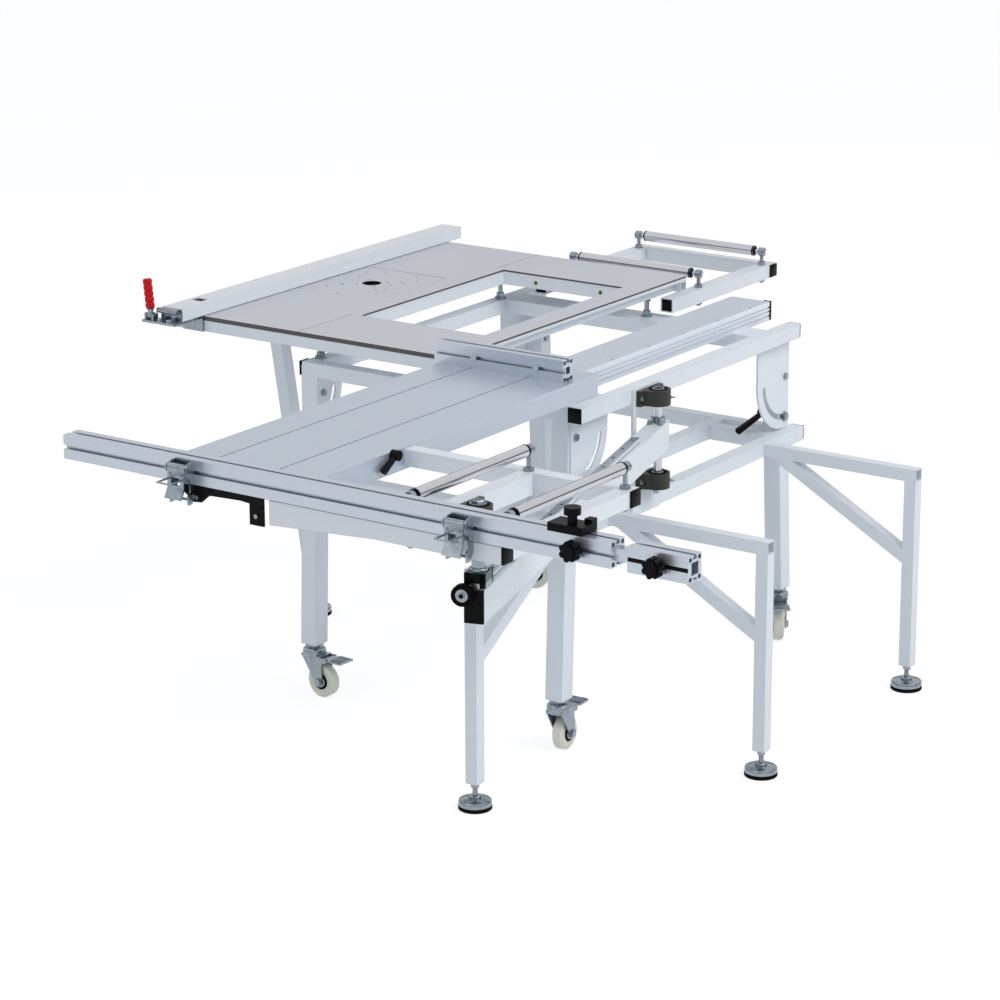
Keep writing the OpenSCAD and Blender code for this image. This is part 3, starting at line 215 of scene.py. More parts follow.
# %% Powder coat and hammer paint
def powder_coat(name, code, rough, peel_mm=3.0, peel=0.06, shine=0.5):
    # Melted powder: a satin skin with a soft orange peel. It rounds every edge and catches light
    # there. The real peel is about 1 mm across and is drawn at 3 or 4 mm so that it shows.
    finish, tree = new_finish(name)
    place = add(tree, "ShaderNodeTexCoord").outputs["Object"]
    cloud = add(tree, "ShaderNodeTexNoise", {
        "Vector": place, "Scale": per_metre(260), "Detail": 3.0})
    tone = add(tree, "ShaderNodeMix", {
        FACTOR: cloud.outputs[0], COLOUR_A: linear(code), COLOUR_B: dimmed(code, 0.94)},
        data_type="RGBA")
    peel_bumps = add(tree, "ShaderNodeTexNoise", {
        "Vector": place, "Scale": per_metre(peel_mm), "Detail": 2.0})
    soft_edge = add(tree, "ShaderNodeBevel", {"Radius": 0.0022}, samples=4)
    bump = add(tree, "ShaderNodeBump", {
        "Height": peel_bumps.outputs[0], "Strength": peel, "Distance": 0.0005,
        "Normal": soft_edge.outputs[0]})
    gloss = add(tree, "ShaderNodeMapRange", {
        VALUE: cloud.outputs[0], TO_MIN: rough - 0.05, TO_MAX: rough + 0.07})
    skin = add(tree, "ShaderNodeBsdfPrincipled", {
        "Base Color": tone.outputs[MIXED], "Roughness": gloss.outputs[0],
        "Normal": bump.outputs[0], "Specular IOR Level": shine})
    add(tree, "ShaderNodeOutputMaterial", {"Surface": skin.outputs[0]})
    return finish


white_steel = powder_coat("powder_coated_steel_white", "#e8eef3", rough=0.36)
iron_paint = powder_coat(
    "hammer_painted_cast_iron_olive", "#33362f", rough=0.42, peel_mm=4.0, peel=0.35, shine=0.3)
print("painted finishes", white_steel.name, iron_paint.name)

# %% [markdown]
# ## Laminate
# The table is grey laminate on board, with a dark core that shows at its edges. Face, core and strip
# could be three materials on separate faces. The plate is one solid, so a single shader tells them
# apart by the way a face looks and by its height.

# %% Laminate of the table
# Frame places in metres: just inside the table's front edge, and how low the dark core shows on the
# other edges and on the front one.
FRONT_EDGE, CORE_LOW, FRONT_CORE_LOW = -0.1105, 0.9036, 0.8975


def laminate(name, face_code, edge_code, strip_code):
    # Grey laminate on a fibre board: a pale speckled face and a dark core that shows as a thin line
    # under the face. A white strip covers the core below that line, and sits lower along the front
    # edge. The specks are about 1 mm across in life and are drawn at 4 mm so that they show.
    finish, tree = new_finish(name)
    place = add(tree, "ShaderNodeTexCoord").outputs["Object"]
    speck = add(tree, "ShaderNodeTexNoise", {
        "Vector": place, "Scale": per_metre(4), "Detail": 4.0})
    cloud = add(tree, "ShaderNodeTexNoise", {
        "Vector": place, "Scale": per_metre(300), "Detail": 2.0})
    face_dark = dimmed(face_code, 0.90)
    speckled = add(tree, "ShaderNodeMix", {
        FACTOR: speck.outputs[0], COLOUR_A: linear(face_code), COLOUR_B: face_dark},
        data_type="RGBA")
    clouded = add(tree, "ShaderNodeMix", {
        FACTOR: cloud.outputs[0], COLOUR_A: speckled.outputs[MIXED], COLOUR_B: face_dark},
        data_type="RGBA")
    normal = add(tree, "ShaderNodeNewGeometry").outputs["Normal"]
    upright = add(tree, "ShaderNodeSeparateXYZ", {"Vector": normal})
    lies = add(tree, "ShaderNodeMath", {0: upright.outputs["Z"], 1: 0.5}, operation="GREATER_THAN")
    where = add(tree, "ShaderNodeSeparateXYZ", {"Vector": place})
    at_front = add(tree, "ShaderNodeMath", {
        0: where.outputs["Y"], 1: FRONT_EDGE}, operation="LESS_THAN")
    line = add(tree, "ShaderNodeMapRange", {
        VALUE: at_front.outputs[0], TO_MIN: CORE_LOW, TO_MAX: FRONT_CORE_LOW})
    core = add(tree, "ShaderNodeMath", {
        0: where.outputs["Z"], 1: line.outputs[0]}, operation="GREATER_THAN")
    edge = add(tree, "ShaderNodeMix", {
        FACTOR: core.outputs[0], COLOUR_A: linear(strip_code), COLOUR_B: linear(edge_code)},
        data_type="RGBA")
    colour = add(tree, "ShaderNodeMix", {
        FACTOR: lies.outputs[0], COLOUR_A: edge.outputs[MIXED], COLOUR_B: clouded.outputs[MIXED]},
        data_type="RGBA")
    bump = add(tree, "ShaderNodeBump", {
        "Height": speck.outputs[0], "Strength": 0.05, "Distance": 0.0004})
    skin = add(tree, "ShaderNodeBsdfPrincipled", {
        "Base Color": colour.outputs[MIXED], "Roughness": 0.45, "Normal": bump.outputs[0]})
    add(tree, "ShaderNodeOutputMaterial", {"Surface": skin.outputs[0]})
    return finish


table_laminate = laminate(
    "laminate_board_taupe_grey", face_code="#d2d3da", edge_code="#4c4847", strip_code="#e2e7ed")
print("board finish", table_laminate.name)

# %% [markdown]
# ## Drawn aluminium
# The extrusions are anodised aluminium with drawing lines along their length. The lines could be a
# picture, but noise that is stretched along one axis gives them at any size. The fence runs across
# the bench, and the sliding table and its rail run along it, so there is a finish for each way.

# %% Anodised extrusions
ALONG_X, ALONG_Y = 0, 1


def drawn_aluminium(name, code, rough, along, metal, side_highlight_code=None):
    # Anodised extrusion: a silky metal under a thin milky oxide, so part of the light scatters, with
    # fine drawing lines along its length. The lines are about 0.3 mm apart in life and are drawn at
    # 2 mm across so that they show. Upright faces can take a paler colour, a painted highlight that
    # makes the sides lighter than the top.
    finish, tree = new_finish(name)
    place = add(tree, "ShaderNodeTexCoord").outputs["Object"]
    stretch = [per_metre(2.0)] * 3
    stretch[along] = per_metre(400)
    drawn = add(tree, "ShaderNodeMapping", {"Vector": place, "Scale": stretch})
    lines = add(tree, "ShaderNodeTexNoise", {
        "Vector": drawn.outputs[0], "Scale": 1.0, "Detail": 3.0})
    normal = add(tree, "ShaderNodeNewGeometry").outputs["Normal"]
    upright = add(tree, "ShaderNodeSeparateXYZ", {"Vector": normal})
    lies = add(tree, "ShaderNodeMath", {0: upright.outputs["Z"], 1: 0.5}, operation="GREATER_THAN")
    tone_with_side_highlight = add(tree, "ShaderNodeMix", {
        FACTOR: lies.outputs[0], COLOUR_A: linear(side_highlight_code or code), COLOUR_B: linear(code)},
        data_type="RGBA")
    line_tone = add(tree, "ShaderNodeMix", {
        FACTOR: 1.0, COLOUR_A: tone_with_side_highlight.outputs[MIXED], COLOUR_B: (0.9, 0.9, 0.9, 1)},
        data_type="RGBA", blend_type="MULTIPLY")
    tone = add(tree, "ShaderNodeMix", {
        FACTOR: lines.outputs[0], COLOUR_A: tone_with_side_highlight.outputs[MIXED],
        COLOUR_B: line_tone.outputs[MIXED]}, data_type="RGBA")
    gloss = add(tree, "ShaderNodeMapRange", {
        VALUE: lines.outputs[0], TO_MIN: rough - 0.06, TO_MAX: rough + 0.08})
    bump = add(tree, "ShaderNodeBump", {
        "Height": lines.outputs[0], "Strength": 0.05, "Distance": 0.0003})
    skin = add(tree, "ShaderNodeBsdfPrincipled", {
        "Base Color": tone.outputs[MIXED], "Metallic": metal, "Roughness": gloss.outputs[0],
        "Normal": bump.outputs[0]})
    add(tree, "ShaderNodeOutputMaterial", {"Surface": skin.outputs[0]})
    return finish


aluminium_across = drawn_aluminium(
    "anodised_aluminium_drawn_across", "#c6ced9", rough=0.34, along=ALONG_X, metal=0.85)
aluminium_along = drawn_aluminium(
    "anodised_aluminium_drawn_along", "#c4cdd9", rough=0.38, along=ALONG_Y, metal=0.6)
# The rail's upright sides take a paler colour than its top: a painted highlight.
aluminium_rail = drawn_aluminium(
    "anodised_aluminium_drawn_rail", "#cbd3de", rough=0.40, along=ALONG_Y, metal=0.4,
    side_highlight_code="#f1f6fc")
print("extrusions", aluminium_across.name, aluminium_along.name, aluminium_rail.name)

# %% [markdown]
# ## Plated steel
# Small hardware is zinc plated, rollers are hard chrome and two screws have a yellow plate. These
# three differ only in colour, gloss and the clouds in their plate, so they share a function.

# %% Zinc, chrome and yellow plate
def plated(name, code, rough, spangle_mm, contrast):
    # Plated steel: a bright metal whose thin plate leaves faint cloudy patches.
    finish, tree = new_finish(name)
    place = add(tree, "ShaderNodeTexCoord").outputs["Object"]
    cloud = add(tree, "ShaderNodeTexNoise", {
        "Vector": place, "Scale": per_metre(spangle_mm), "Detail": 3.0})
    tone = add(tree, "ShaderNodeMix", {
        FACTOR: cloud.outputs[0], COLOUR_A: linear(code), COLOUR_B: dimmed(code, contrast)},
        data_type="RGBA")
    gloss = add(tree, "ShaderNodeMapRange", {
        VALUE: cloud.outputs[0], TO_MIN: rough * 0.8, TO_MAX: rough * 1.3})
    skin = add(tree, "ShaderNodeBsdfPrincipled", {
        "Base Color": tone.outputs[MIXED], "Metallic": 1.0, "Roughness": gloss.outputs[0]})
    add(tree, "ShaderNodeOutputMaterial", {"Surface": skin.outputs[0]})
    return finish


zinc = plated("bright_zinc_plated_steel", "#a3aeb7", rough=0.26, spangle_mm=12, contrast=0.52)
chrome = plated("hard_chrome_plate", "#c6c8ce", rough=0.11, spangle_mm=40, contrast=0.88)
yellow_steel = plated("yellow_passivated_steel", "#6f6a35", rough=0.34, spangle_mm=6, contrast=0.7)
print("plated finishes", zinc.name, chrome.name, yellow_steel.name)

# %% [markdown]
# ## Plastics and rubber
# Caps and grips are moulded nylon and vinyl, pads, tyres and seals are rubber, and the caster wheels
# are cast nylon. All are coloured through, with the grain of their mould, so one function makes them.

# %% Moulded finishes
def moulded(name, code, rough, grain_mm, grain, shine):
    # Moulded polymer: one colour through the whole piece, with the fine grain of its mould. The real
    # grain is well under 1 mm across and is drawn at 2 to 3 mm so that it shows.
    finish, tree = new_finish(name)
    place = add(tree, "ShaderNodeTexCoord").outputs["Object"]
    grit = add(tree, "ShaderNodeTexNoise", {
        "Vector": place, "Scale": per_metre(grain_mm), "Detail": 2.0})
    cloud = add(tree, "ShaderNodeTexNoise", {
        "Vector": place, "Scale": per_metre(30), "Detail": 2.0})
    tone = add(tree, "ShaderNodeMix", {
        FACTOR: cloud.outputs[0], COLOUR_A: linear(code), COLOUR_B: dimmed(code, 0.86)},
        data_type="RGBA")
    bump = add(tree, "ShaderNodeBump", {
        "Height": grit.outputs[0], "Strength": grain, "Distance": 0.0005})
    skin = add(tree, "ShaderNodeBsdfPrincipled", {
        "Base Color": tone.outputs[MIXED], "Roughness": rough, "Normal": bump.outputs[0],
        "Specular IOR Level": shine})
    add(tree, "ShaderNodeOutputMaterial", {"Surface": skin.outputs[0]})
    return finish


black_plastic = moulded(
    "moulded_nylon_black", "#050608", rough=0.40, grain_mm=2.0, grain=0.15, shine=0.09)
black_rubber = moulded(
    "moulded_rubber_black", "#060607", rough=0.70, grain_mm=2.5, grain=0.25, shine=0.07)
green_seal = moulded(
    "moulded_seal_green", "#125038", rough=0.40, grain_mm=2.0, grain=0.10, shine=0.20)
ivory_nylon = moulded(
    "cast_nylon_ivory", "#ebeada", rough=0.36, grain_mm=3.0, grain=0.08, shine=0.5)
red_grip = moulded(
    "moulded_vinyl_red", "#cf0717", rough=0.36, grain_mm=3.0, grain=0.10, shine=0.22)
print("moulded black, green, ivory and red finishes")

# %% [markdown]
# ## A finish for each solid
# Each CAD solid has a material slot that says what it is made of, so one table turns slots into
# finishes. The sliding table and its rail are drawn lengthwise and take finishes of their own.

# %% Finish of each solid
finish_of_slot = {
    "white": white_steel, "table": table_laminate, "alu": aluminium_across, "chrome": chrome,
    "zinc": zinc, "black": black_plastic, "rubber": black_rubber, "ivory": ivory_nylon,
    "iron": iron_paint, "red": red_grip,
}
finish_of_node = {"sliding_table": aluminium_along, "slide_rail": aluminium_rail}
for name, obj in frame["nodes"].items():
    for slot in obj.material_slots:
        slot.material = finish_of_node.get(name, finish_of_slot[slot_of[name]])
print("finished nodes", len(frame["nodes"]))

# %% [markdown]
# ## Mesh helpers for the trim
# The trim is drawn in millimetres on the same plan as the stand, so one function moves a place on
# that plan into the frame. Caps and blocks are cubes with rounded edges, which catch the light as
# real ones do.

# %% Places and blocks
PLAN = Matrix.Scale(0.001, 4) @ Matrix.Translation((-307.0, 437.0, 0.0))
UP, TO_RIGHT, TO_LEFT = (0, 0, 1), (1, 0, 0), (-1, 0, 0)
TO_FRONT, TO_BACK = (0, -1, 0), (0, 1, 0)


def on_plan(x, y, z):
    return PLAN @ Vector((x, y, z))


def rounded_block(bm, low, high, radius, plan=PLAN):
    a, b = Vector(low), Vector(high)
    shape = plan @ Matrix.Translation((a + b) / 2) @ Matrix.Diagonal((*(b - a), 1.0))
    verts = bmesh.ops.create_cube(bm, size=1.0, matrix=shape)["verts"]
    edges = {edge for vert in verts for edge in vert.link_edges}
    bmesh.ops.bevel(
        bm, geom=list(edges), offset=radius / 1000.0, segments=2, profile=0.5, affect="EDGES")


print("plan origin in the frame", tuple(round(c, 3) for c in on_plan(0, 0, 0)))

# %% [markdown]
# ## Turned and sheet pieces
# Turned pieces are a profile of radius and height taken round an axis, as on a lathe. Sheet pieces
# are an outline given a thickness. A Screw or Solidify modifier could do the same, but a few lines
# give closed meshes that need no clean-up.

# %% Turned and sheet pieces
def turned(bm, profile, base, axis=UP, steps=36):
    # A radius of 0 gives a single point on the axis. A profile that does not both start and end on
    # the axis is closed back to its start.
    turn = Vector(UP).rotation_difference(Vector(axis)).to_matrix()
    angles = [math.tau * i / steps for i in range(steps)]
    rings = []
    for radius, height in profile:
        spots = [Vector((radius * math.cos(a), radius * math.sin(a), height)) for a in angles]
        if radius == 0:
            spots = spots[:1]
        rings.append([bm.verts.new(on_plan(*base) + turn @ spot / 1000.0) for spot in spots])
    closing = [] if profile[0][0] == profile[-1][0] == 0 else rings[:1]
    for low, high in zip(rings, rings[1:] + closing):
        for i in range(steps):
            j = (i + 1) % steps
            corners = [low[i % len(low)], low[j % len(low)], high[j % len(high)], high[i % len(high)]]
            bm.faces.new(list(dict.fromkeys(corners)))


def sheet(bm, outline, thickness, place):
    front = [bm.verts.new(place(u, v, 0.0)) for u, v in outline]
    back = [bm.verts.new(place(u, v, thickness)) for u, v in outline]
    bm.faces.new(front)
    bm.faces.new(back[::-1])
    for i in range(len(front)):
        j = (i + 1) % len(front)
        bm.faces.new((front[i], back[i], back[j], front[j]))


# %% [markdown]
# ## From mesh to piece
# A finished piece gets its finish, smooth faces with its hard edges kept, the body that it rides on
# and its material slot.

# %% Function that places a piece
SHARP_ANGLE = math.radians(35)


def trim(name, bm, finish, body):
    bmesh.ops.recalc_face_normals(bm, faces=bm.faces)
    mesh = bpy.data.meshes.new(name)
    bm.to_mesh(mesh)
    bm.free()
    mesh.materials.append(finish)
    mesh.shade_smooth()
    mesh.set_sharp_from_angle(angle=SHARP_ANGLE)
    obj = bpy.data.objects.new(name, mesh)
    scene.collection.objects.link(obj)
    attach(obj, body)
    print(name, len(mesh.polygons), "faces on", body)
    return obj


# %% [markdown]
# ## Heads, screws and dots
# Bolt heads, rail screws and the small holes of the router panel repeat many times. Geometry Nodes
# put one head with its washer on every point of a small cloud of points, turned the way each point
# faces, and then make the copies real so that they export as plain mesh.

# %% Geometry Nodes tree for heads
WASHER_SIDES, WASHER_SHARE = 20, 0.4
heads_tree = bpy.data.node_groups.new("heads_on_points", "GeometryNodeTree")
for label, kind in (
    ("Geometry", "NodeSocketGeometry"), ("Radius", "NodeSocketFloat"),
    ("Height", "NodeSocketFloat"), ("Sides", "NodeSocketInt"),
    ("Washer", "NodeSocketFloat"), ("Finish", "NodeSocketMaterial"),
):
    heads_tree.interface.new_socket(label, in_out="INPUT", socket_type=kind)
heads_tree.interface.new_socket("Geometry", in_out="OUTPUT", socket_type="NodeSocketGeometry")
given = add(heads_tree, "NodeGroupInput")
half = add(heads_tree, "ShaderNodeMath", {
    0: given.outputs["Height"], 1: 0.5}, operation="MULTIPLY")
lift = add(heads_tree, "ShaderNodeCombineXYZ", {"Z": half.outputs[0]})
head = add(heads_tree, "GeometryNodeMeshCylinder", {
    "Vertices": given.outputs["Sides"], "Radius": given.outputs["Radius"],
    "Depth": given.outputs["Height"]})
raised = add(heads_tree, "GeometryNodeTransform", {
    "Geometry": head.outputs[0], "Translation": lift.outputs[0]})
thin = add(heads_tree, "ShaderNodeMath", {
    0: given.outputs["Height"], 1: WASHER_SHARE}, operation="MULTIPLY")
washer = add(heads_tree, "GeometryNodeMeshCylinder", {
    "Vertices": WASHER_SIDES, "Radius": given.outputs["Washer"], "Depth": thin.outputs[0]})
one = add(heads_tree, "GeometryNodeJoinGeometry")
heads_tree.links.new(raised.outputs[0], one.inputs[0])
heads_tree.links.new(washer.outputs[0], one.inputs[0])
facing = add(heads_tree, "GeometryNodeInputNamedAttribute", {
    "Name": "facing"}, data_type="FLOAT_VECTOR")
turn = add(heads_tree, "FunctionNodeAlignRotationToVector", {
    "Vector": facing.outputs[0]}, axis="Z")
copies = add(heads_tree, "GeometryNodeInstanceOnPoints", {
    "Points": given.outputs["Geometry"], "Instance": one.outputs[0], "Rotation": turn.outputs[0]})
real = add(heads_tree, "GeometryNodeRealizeInstances", {"Geometry": copies.outputs[0]})
dressed = add(heads_tree, "GeometryNodeSetMaterial", {
    "Geometry": real.outputs[0], "Material": given.outputs["Finish"]})
add(heads_tree, "NodeGroupOutput", {"Geometry": dressed.outputs[0]})
socket_id = {
    item.name: item.identifier
    for item in heads_tree.interface.items_tree if item.in_out == "INPUT"
}
print("heads tree nodes", len(heads_tree.nodes))

# %% [markdown]
# ## From points to plain mesh
# A cloud is a list of spots, each a place on the plan and the way it faces. The tree's sizes are set
# through the identifiers of its inputs, and the evaluated result is kept as a mesh. Where no washer
# is asked for, it is smaller than the head and so stays hidden under it.

# %% Function that sets heads
HIDDEN_WASHER = 0.9


def heads(name, spots, body, finish, radius, height, sides=6, washer=None):
    cloud = bpy.data.meshes.new(name + "_points")
    cloud.from_pydata([on_plan(*spot) for spot, _ in spots], [], [])
    cloud.attributes.new("facing", "FLOAT_VECTOR", "POINT").data.foreach_set(
        "vector", [c for _, way in spots for c in way])
    carrier = bpy.data.objects.new(name + "_points", cloud)
    scene.collection.objects.link(carrier)
    modifier = carrier.modifiers.new("heads", "NODES")
    modifier.node_group = heads_tree
    washer = washer or radius * HIDDEN_WASHER
    for label, value in (
        ("Radius", radius / 1000), ("Height", height / 1000), ("Sides", sides),
        ("Washer", washer / 1000), ("Finish", finish),
    ):
        modifier[socket_id[label]] = value
    evaluated = carrier.evaluated_get(bpy.context.evaluated_depsgraph_get())
    mesh = bpy.data.meshes.new_from_object(evaluated)
    carrier.modifiers.remove(modifier)
    bpy.data.objects.remove(carrier)
    mesh.name = name
    obj = bpy.data.objects.new(name, mesh)
    scene.collection.objects.link(obj)
    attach(obj, body)
    print(name, len(spots), "heads on", body)


# %% [markdown]
# ## Black tube caps
# The tube ends of the stand are closed with pressed-in black caps. Only the lip of a cap shows, so
# each is a thin rounded block on the end of its tube, given by its spans in x, y and z. The
# outriggers are left open.

# %% Caps on the stand and the crosscut frame
CAP_ROUND, TUBE = 1.2, 35
RIGHT_TUBE, UPPER_FRAME, LOWER_FRAME = (360, 395), (787, 822), (521, 556)
FAR_TUBE, REAR_FRAME = (826, 859), (837, 870)
SIDE_TUBE_END, SIDE_TUBE = (354, 358), (839, 868)
CROSS_TUBE_END, CROSS_TUBE_LOW = (980, 984), 870
stand_caps = [
    (RIGHT_TUBE, (-499, -495), UPPER_FRAME),
    (RIGHT_TUBE, (481, 485), UPPER_FRAME),
    ((-399, -395), (-495, -462), UPPER_FRAME),
    (RIGHT_TUBE, (511, 515), LOWER_FRAME),
    ((107.5, 111), FAR_TUBE, REAR_FRAME),
    ((-305, -301.5), FAR_TUBE, REAR_FRAME),
    ((75.5, 104.5), SIDE_TUBE_END, SIDE_TUBE),
    ((-298.5, -269.5), SIDE_TUBE_END, SIDE_TUBE),
]
cross_caps = [(CROSS_TUBE_END, (y, y + TUBE), (CROSS_TUBE_LOW, CROSS_TUBE_LOW + TUBE))
              for y in (-1658, -1217)]
for name, caps, body in (
    ("stand_tube_caps", stand_caps, "stand"), ("cross_frame_caps", cross_caps, "slide"),
):
    bm = bmesh.new()
    for spans in caps:
        low, high = zip(*spans)
        rounded_block(bm, low, high, CAP_ROUND)
    trim(name, bm, black_plastic, body)

# %% [markdown]
# ## Table details
# The plate is made of boards with a fine dark joint between them, and the router opening has a black
# guide ring. Under the rip fence two thin black strips are painted shadow of the gap beneath it. They
# are thin blocks and a turned ring, and all take their height from the table's face.

# %% Joints, ring and glides of the table
TABLE_TOP = 908.0
PLATE_FRONT, OPENING_FRONT, OPENING_BACK, PLATE_BACK = -548, -335, 261, 455
JOINT_X, JOINT_HALF = -360.0, 0.6
PANEL_LEFT, PANEL_RIGHT, PANEL_BACK = -627, -400, (99.3, 101.2)
SHADOW_STRIP_WIDE, SHADOW_STRIP_FRONT, SHADOW_STRIP_BACK = 4.5, -545, 440
ROUTER = (-520, -45)
RING_OUT, RING_IN, RING_LOW = 23.9, 21.2, 892.5
bm = bmesh.new()
for front, back in ((PLATE_FRONT, OPENING_FRONT), (OPENING_BACK, PLATE_BACK)):
    rounded_block(bm, (JOINT_X - JOINT_HALF, front, TABLE_TOP - 0.4),
                  (JOINT_X + JOINT_HALF, back, TABLE_TOP + 0.15), radius=0.1)
rounded_block(bm, (PANEL_LEFT, PANEL_BACK[0], TABLE_TOP - 0.6),
              (PANEL_RIGHT, PANEL_BACK[1], TABLE_TOP + 0.2), radius=0.2)
trim("table_board_joints", bm, black_plastic, "stand")
bm = bmesh.new()
guide_ring = [(RING_OUT, RING_LOW), (RING_OUT, TABLE_TOP - 0.4), (RING_IN + 0.6, TABLE_TOP - 0.4),
              (RING_IN, TABLE_TOP - 1.2), (RING_IN, RING_LOW)]
turned(bm, guide_ring, (*ROUTER, 0), steps=40)
trim("router_guide_ring", bm, black_plastic, "stand")
# Two thin black strips under the rip fence: painted shadow of the gap between fence and table.
bm = bmesh.new()
for x in (-646, -699):
    rounded_block(bm, (x, SHADOW_STRIP_FRONT, TABLE_TOP + 0.3),
                  (x + SHADOW_STRIP_WIDE, SHADOW_STRIP_BACK, TABLE_TOP + 1.6), radius=0.3)
trim("rip_fence_painted_shadow_strips", bm, black_plastic, "rip_fence")

# %% [markdown]
# ## Screws of the table and the rail
# Two yellow plated screws show inside the saw opening, the router panel has a pattern of small screw
# holes, and a row of screws holds the slide's rail. They are clouds of points for the heads tree. A
# hole is a flat black dot, painted shade for its dark inside, because nothing behind it shows.

# %% Screws and holes
OPENING_SCREW_LEVEL = 886
RAIL_SCREW_X, RAIL_FACE, RAIL_SCREW_PLACES = 309, 868.8, range(-1010, 460, 155)
opening_screws = [((x, OPENING_BACK, OPENING_SCREW_LEVEL), TO_FRONT) for x in (-238, -46)]
heads("saw_opening_screws", opening_screws, "stand",
      yellow_steel, radius=3.6, height=3.0, washer=5.0)
# Right and back from the middle of the router opening.
holes = [(-74, -84), (-61, -47), (-50, -51), (2, -139), (-49, 7), (-66, 37), (-75, 78), (-46, 116),
         (51, 8), (55, 48), (71, 36), (53, 116), (82, 77), (70, -40), (79, -82), (51, -52)]
# Flat black dots: painted shade of the panel's screw holes.
heads("router_panel_hole_shade",
      [((ROUTER[0] + u, ROUTER[1] + v, TABLE_TOP - 0.1), UP) for u, v in holes],
      "stand", black_plastic, radius=2.6, height=0.3, sides=12)
rail_screws = [((RAIL_SCREW_X, y, RAIL_FACE), UP) for y in RAIL_SCREW_PLACES]
heads("rail_screws", rail_screws, "stand", zinc, radius=2.6, height=1.2, sides=12)

# %% [markdown]
# ## Bolts of the legs
# The clamp lever of the fold plate turns on a stout bolt, which rides on the lever. Two bolts hold
# the side leg and face squarely out of it, so their way leans as the leg does.

# %% Lever bolt and side leg bolts
LEVER_BOLT = (366.7, 464.4, 587)
SIDE_LEG_X, SIDE_LEG_FACE, SIDE_LEG_BOLT_LEVEL = -735, -175.2, 835
SIDE_LEG_WAY = (0, -0.983, -0.182)
heads("leg_lever_bolt", [(LEVER_BOLT, TO_RIGHT)], "leg_lever",
      zinc, radius=10.0, height=6.5, washer=12.0)
leg_bolts = [((SIDE_LEG_X + s, SIDE_LEG_FACE, SIDE_LEG_BOLT_LEVEL), SIDE_LEG_WAY) for s in (-8, 8)]
heads("side_leg_bolts", leg_bolts, "stand", zinc, radius=6.0, height=4.5, washer=7.0)

# %% [markdown]
# ## Bearings
# A pillow block holds a bearing insert: a black seal, a bright inner ring with its collar, and a
# grease nipple on the housing. Seals and rings are turned round the bearing's axis, one of each for
# either face of the block, and the nipple is turned round its own axis.

# %% Bearing inserts, nipples and bolts
SHAFT, PIVOT = (430, -230), (783, -1450)
BLOCK_THICK, BOLT_SPREAD, BOLT_BACK = 36, 41.5, 17
SEAL = [(13.5, -1.0), (13.5, 0.9), (22.5, 0.9), (23.5, 0.0), (23.5, -1.0)]
INNER_RING = [(10.4, -0.5), (10.4, 1.4), (11.0, 2.0), (13.2, 2.0), (13.8, 1.4), (13.8, -0.5)]
NIPPLE = [(0, 0), (3.2, 0), (3.2, 4), (1.6, 5), (1.6, 8), (2.4, 9.5), (1.2, 12), (0, 12)]
NIPPLE_WAY, NIPPLE_REACH = Vector((0.94, 0.34, 0.0)), 28.5
for name, body, (x, y), bottom in (
    ("upper_bearing", "stand", SHAFT, 781), ("lower_bearing", "stand", SHAFT, 584),
    ("pivot_bearing_insert", "slide", PIVOT, 868),
):
    faces = ((bottom + BLOCK_THICK, 1), (bottom, -1))
    middle = Vector((x, y, bottom + BLOCK_THICK / 2))
    bm = bmesh.new()
    for z, way in faces:
        turned(bm, SEAL, (x, y, z), (0, 0, way))
    trim(name + "_seals", bm, black_rubber, body)
    bm = bmesh.new()
    for z, way in faces:
        turned(bm, INNER_RING, (x, y, z), (0, 0, way))
    turned(bm, NIPPLE, middle + NIPPLE_WAY * NIPPLE_REACH, NIPPLE_WAY, steps=16)
    trim(name + "_rings", bm, zinc, body)
    bolts = [((x - BOLT_BACK, y + s, middle.z), TO_RIGHT) for s in (-BOLT_SPREAD, BOLT_SPREAD)]
    heads(name + "_bolts", bolts, body, zinc, radius=6.0, height=6.0, washer=6.4)

# %% [markdown]
# ## Pivot bolt
# A bright bolt with a washer hangs in the pivot bearing of the crosscut frame, with a sleeve below
# it. A turned piece of six steps has six flat sides, so the same function makes the bolt's head.

# %% Sleeve, washer and head
SLEEVE = [(9.0, 848.2), (10.8, 848.2), (10.8, 865.8), (9.0, 865.8)]
PIVOT_WASHER = [(0, 904.4), (16.5, 904.4), (17.5, 905.2), (17.5, 906.8), (16.5, 907.6), (0, 907.6)]
PIVOT_HEAD = [(0, 907.0), (13.4, 907.0), (14.2, 908.0), (14.2, 912.2), (13.0, 913.4), (0, 913.4)]
bm = bmesh.new()
turned(bm, SLEEVE, (*PIVOT, 0))
turned(bm, PIVOT_WASHER, (*PIVOT, 0))
turned(bm, PIVOT_HEAD, (*PIVOT, 0), steps=6)
trim("pivot_bolt", bm, zinc, "slide")

# %% [markdown]
# ## Swing arm
# A hardened guide rail is screwed along the top of the white beam. It is a long ground bar with
# waisted sides and a row of counterbored screws, so it is swept from its section. Half of the
# section is drawn and mirrored. The arm stands askew to the plan, so its pieces are placed by how
# far they are along it and beside it.

# %% Places along the arm
ARM_FOOT, ARM_TIP = Vector((*SHAFT, 0)), Vector((*PIVOT, 0))
ARM_REACH = (ARM_TIP - ARM_FOOT).length
ARM_END, ARM_TOP = ARM_REACH + 25.0, 739.0
arm_way = (ARM_TIP - ARM_FOOT).normalized()
arm_side = Vector((-arm_way.y, arm_way.x, 0.0))
ARM = PLAN @ Matrix.Translation(ARM_FOOT) @ Matrix.Rotation(
    math.atan2(arm_way.y, arm_way.x), 4, "Z")


def on_arm(along, aside, z):
    spot = ARM_FOOT + arm_way * along + arm_side * aside
    return spot.x, spot.y, z


print("arm", round(ARM_REACH), "mm from shaft to pivot")

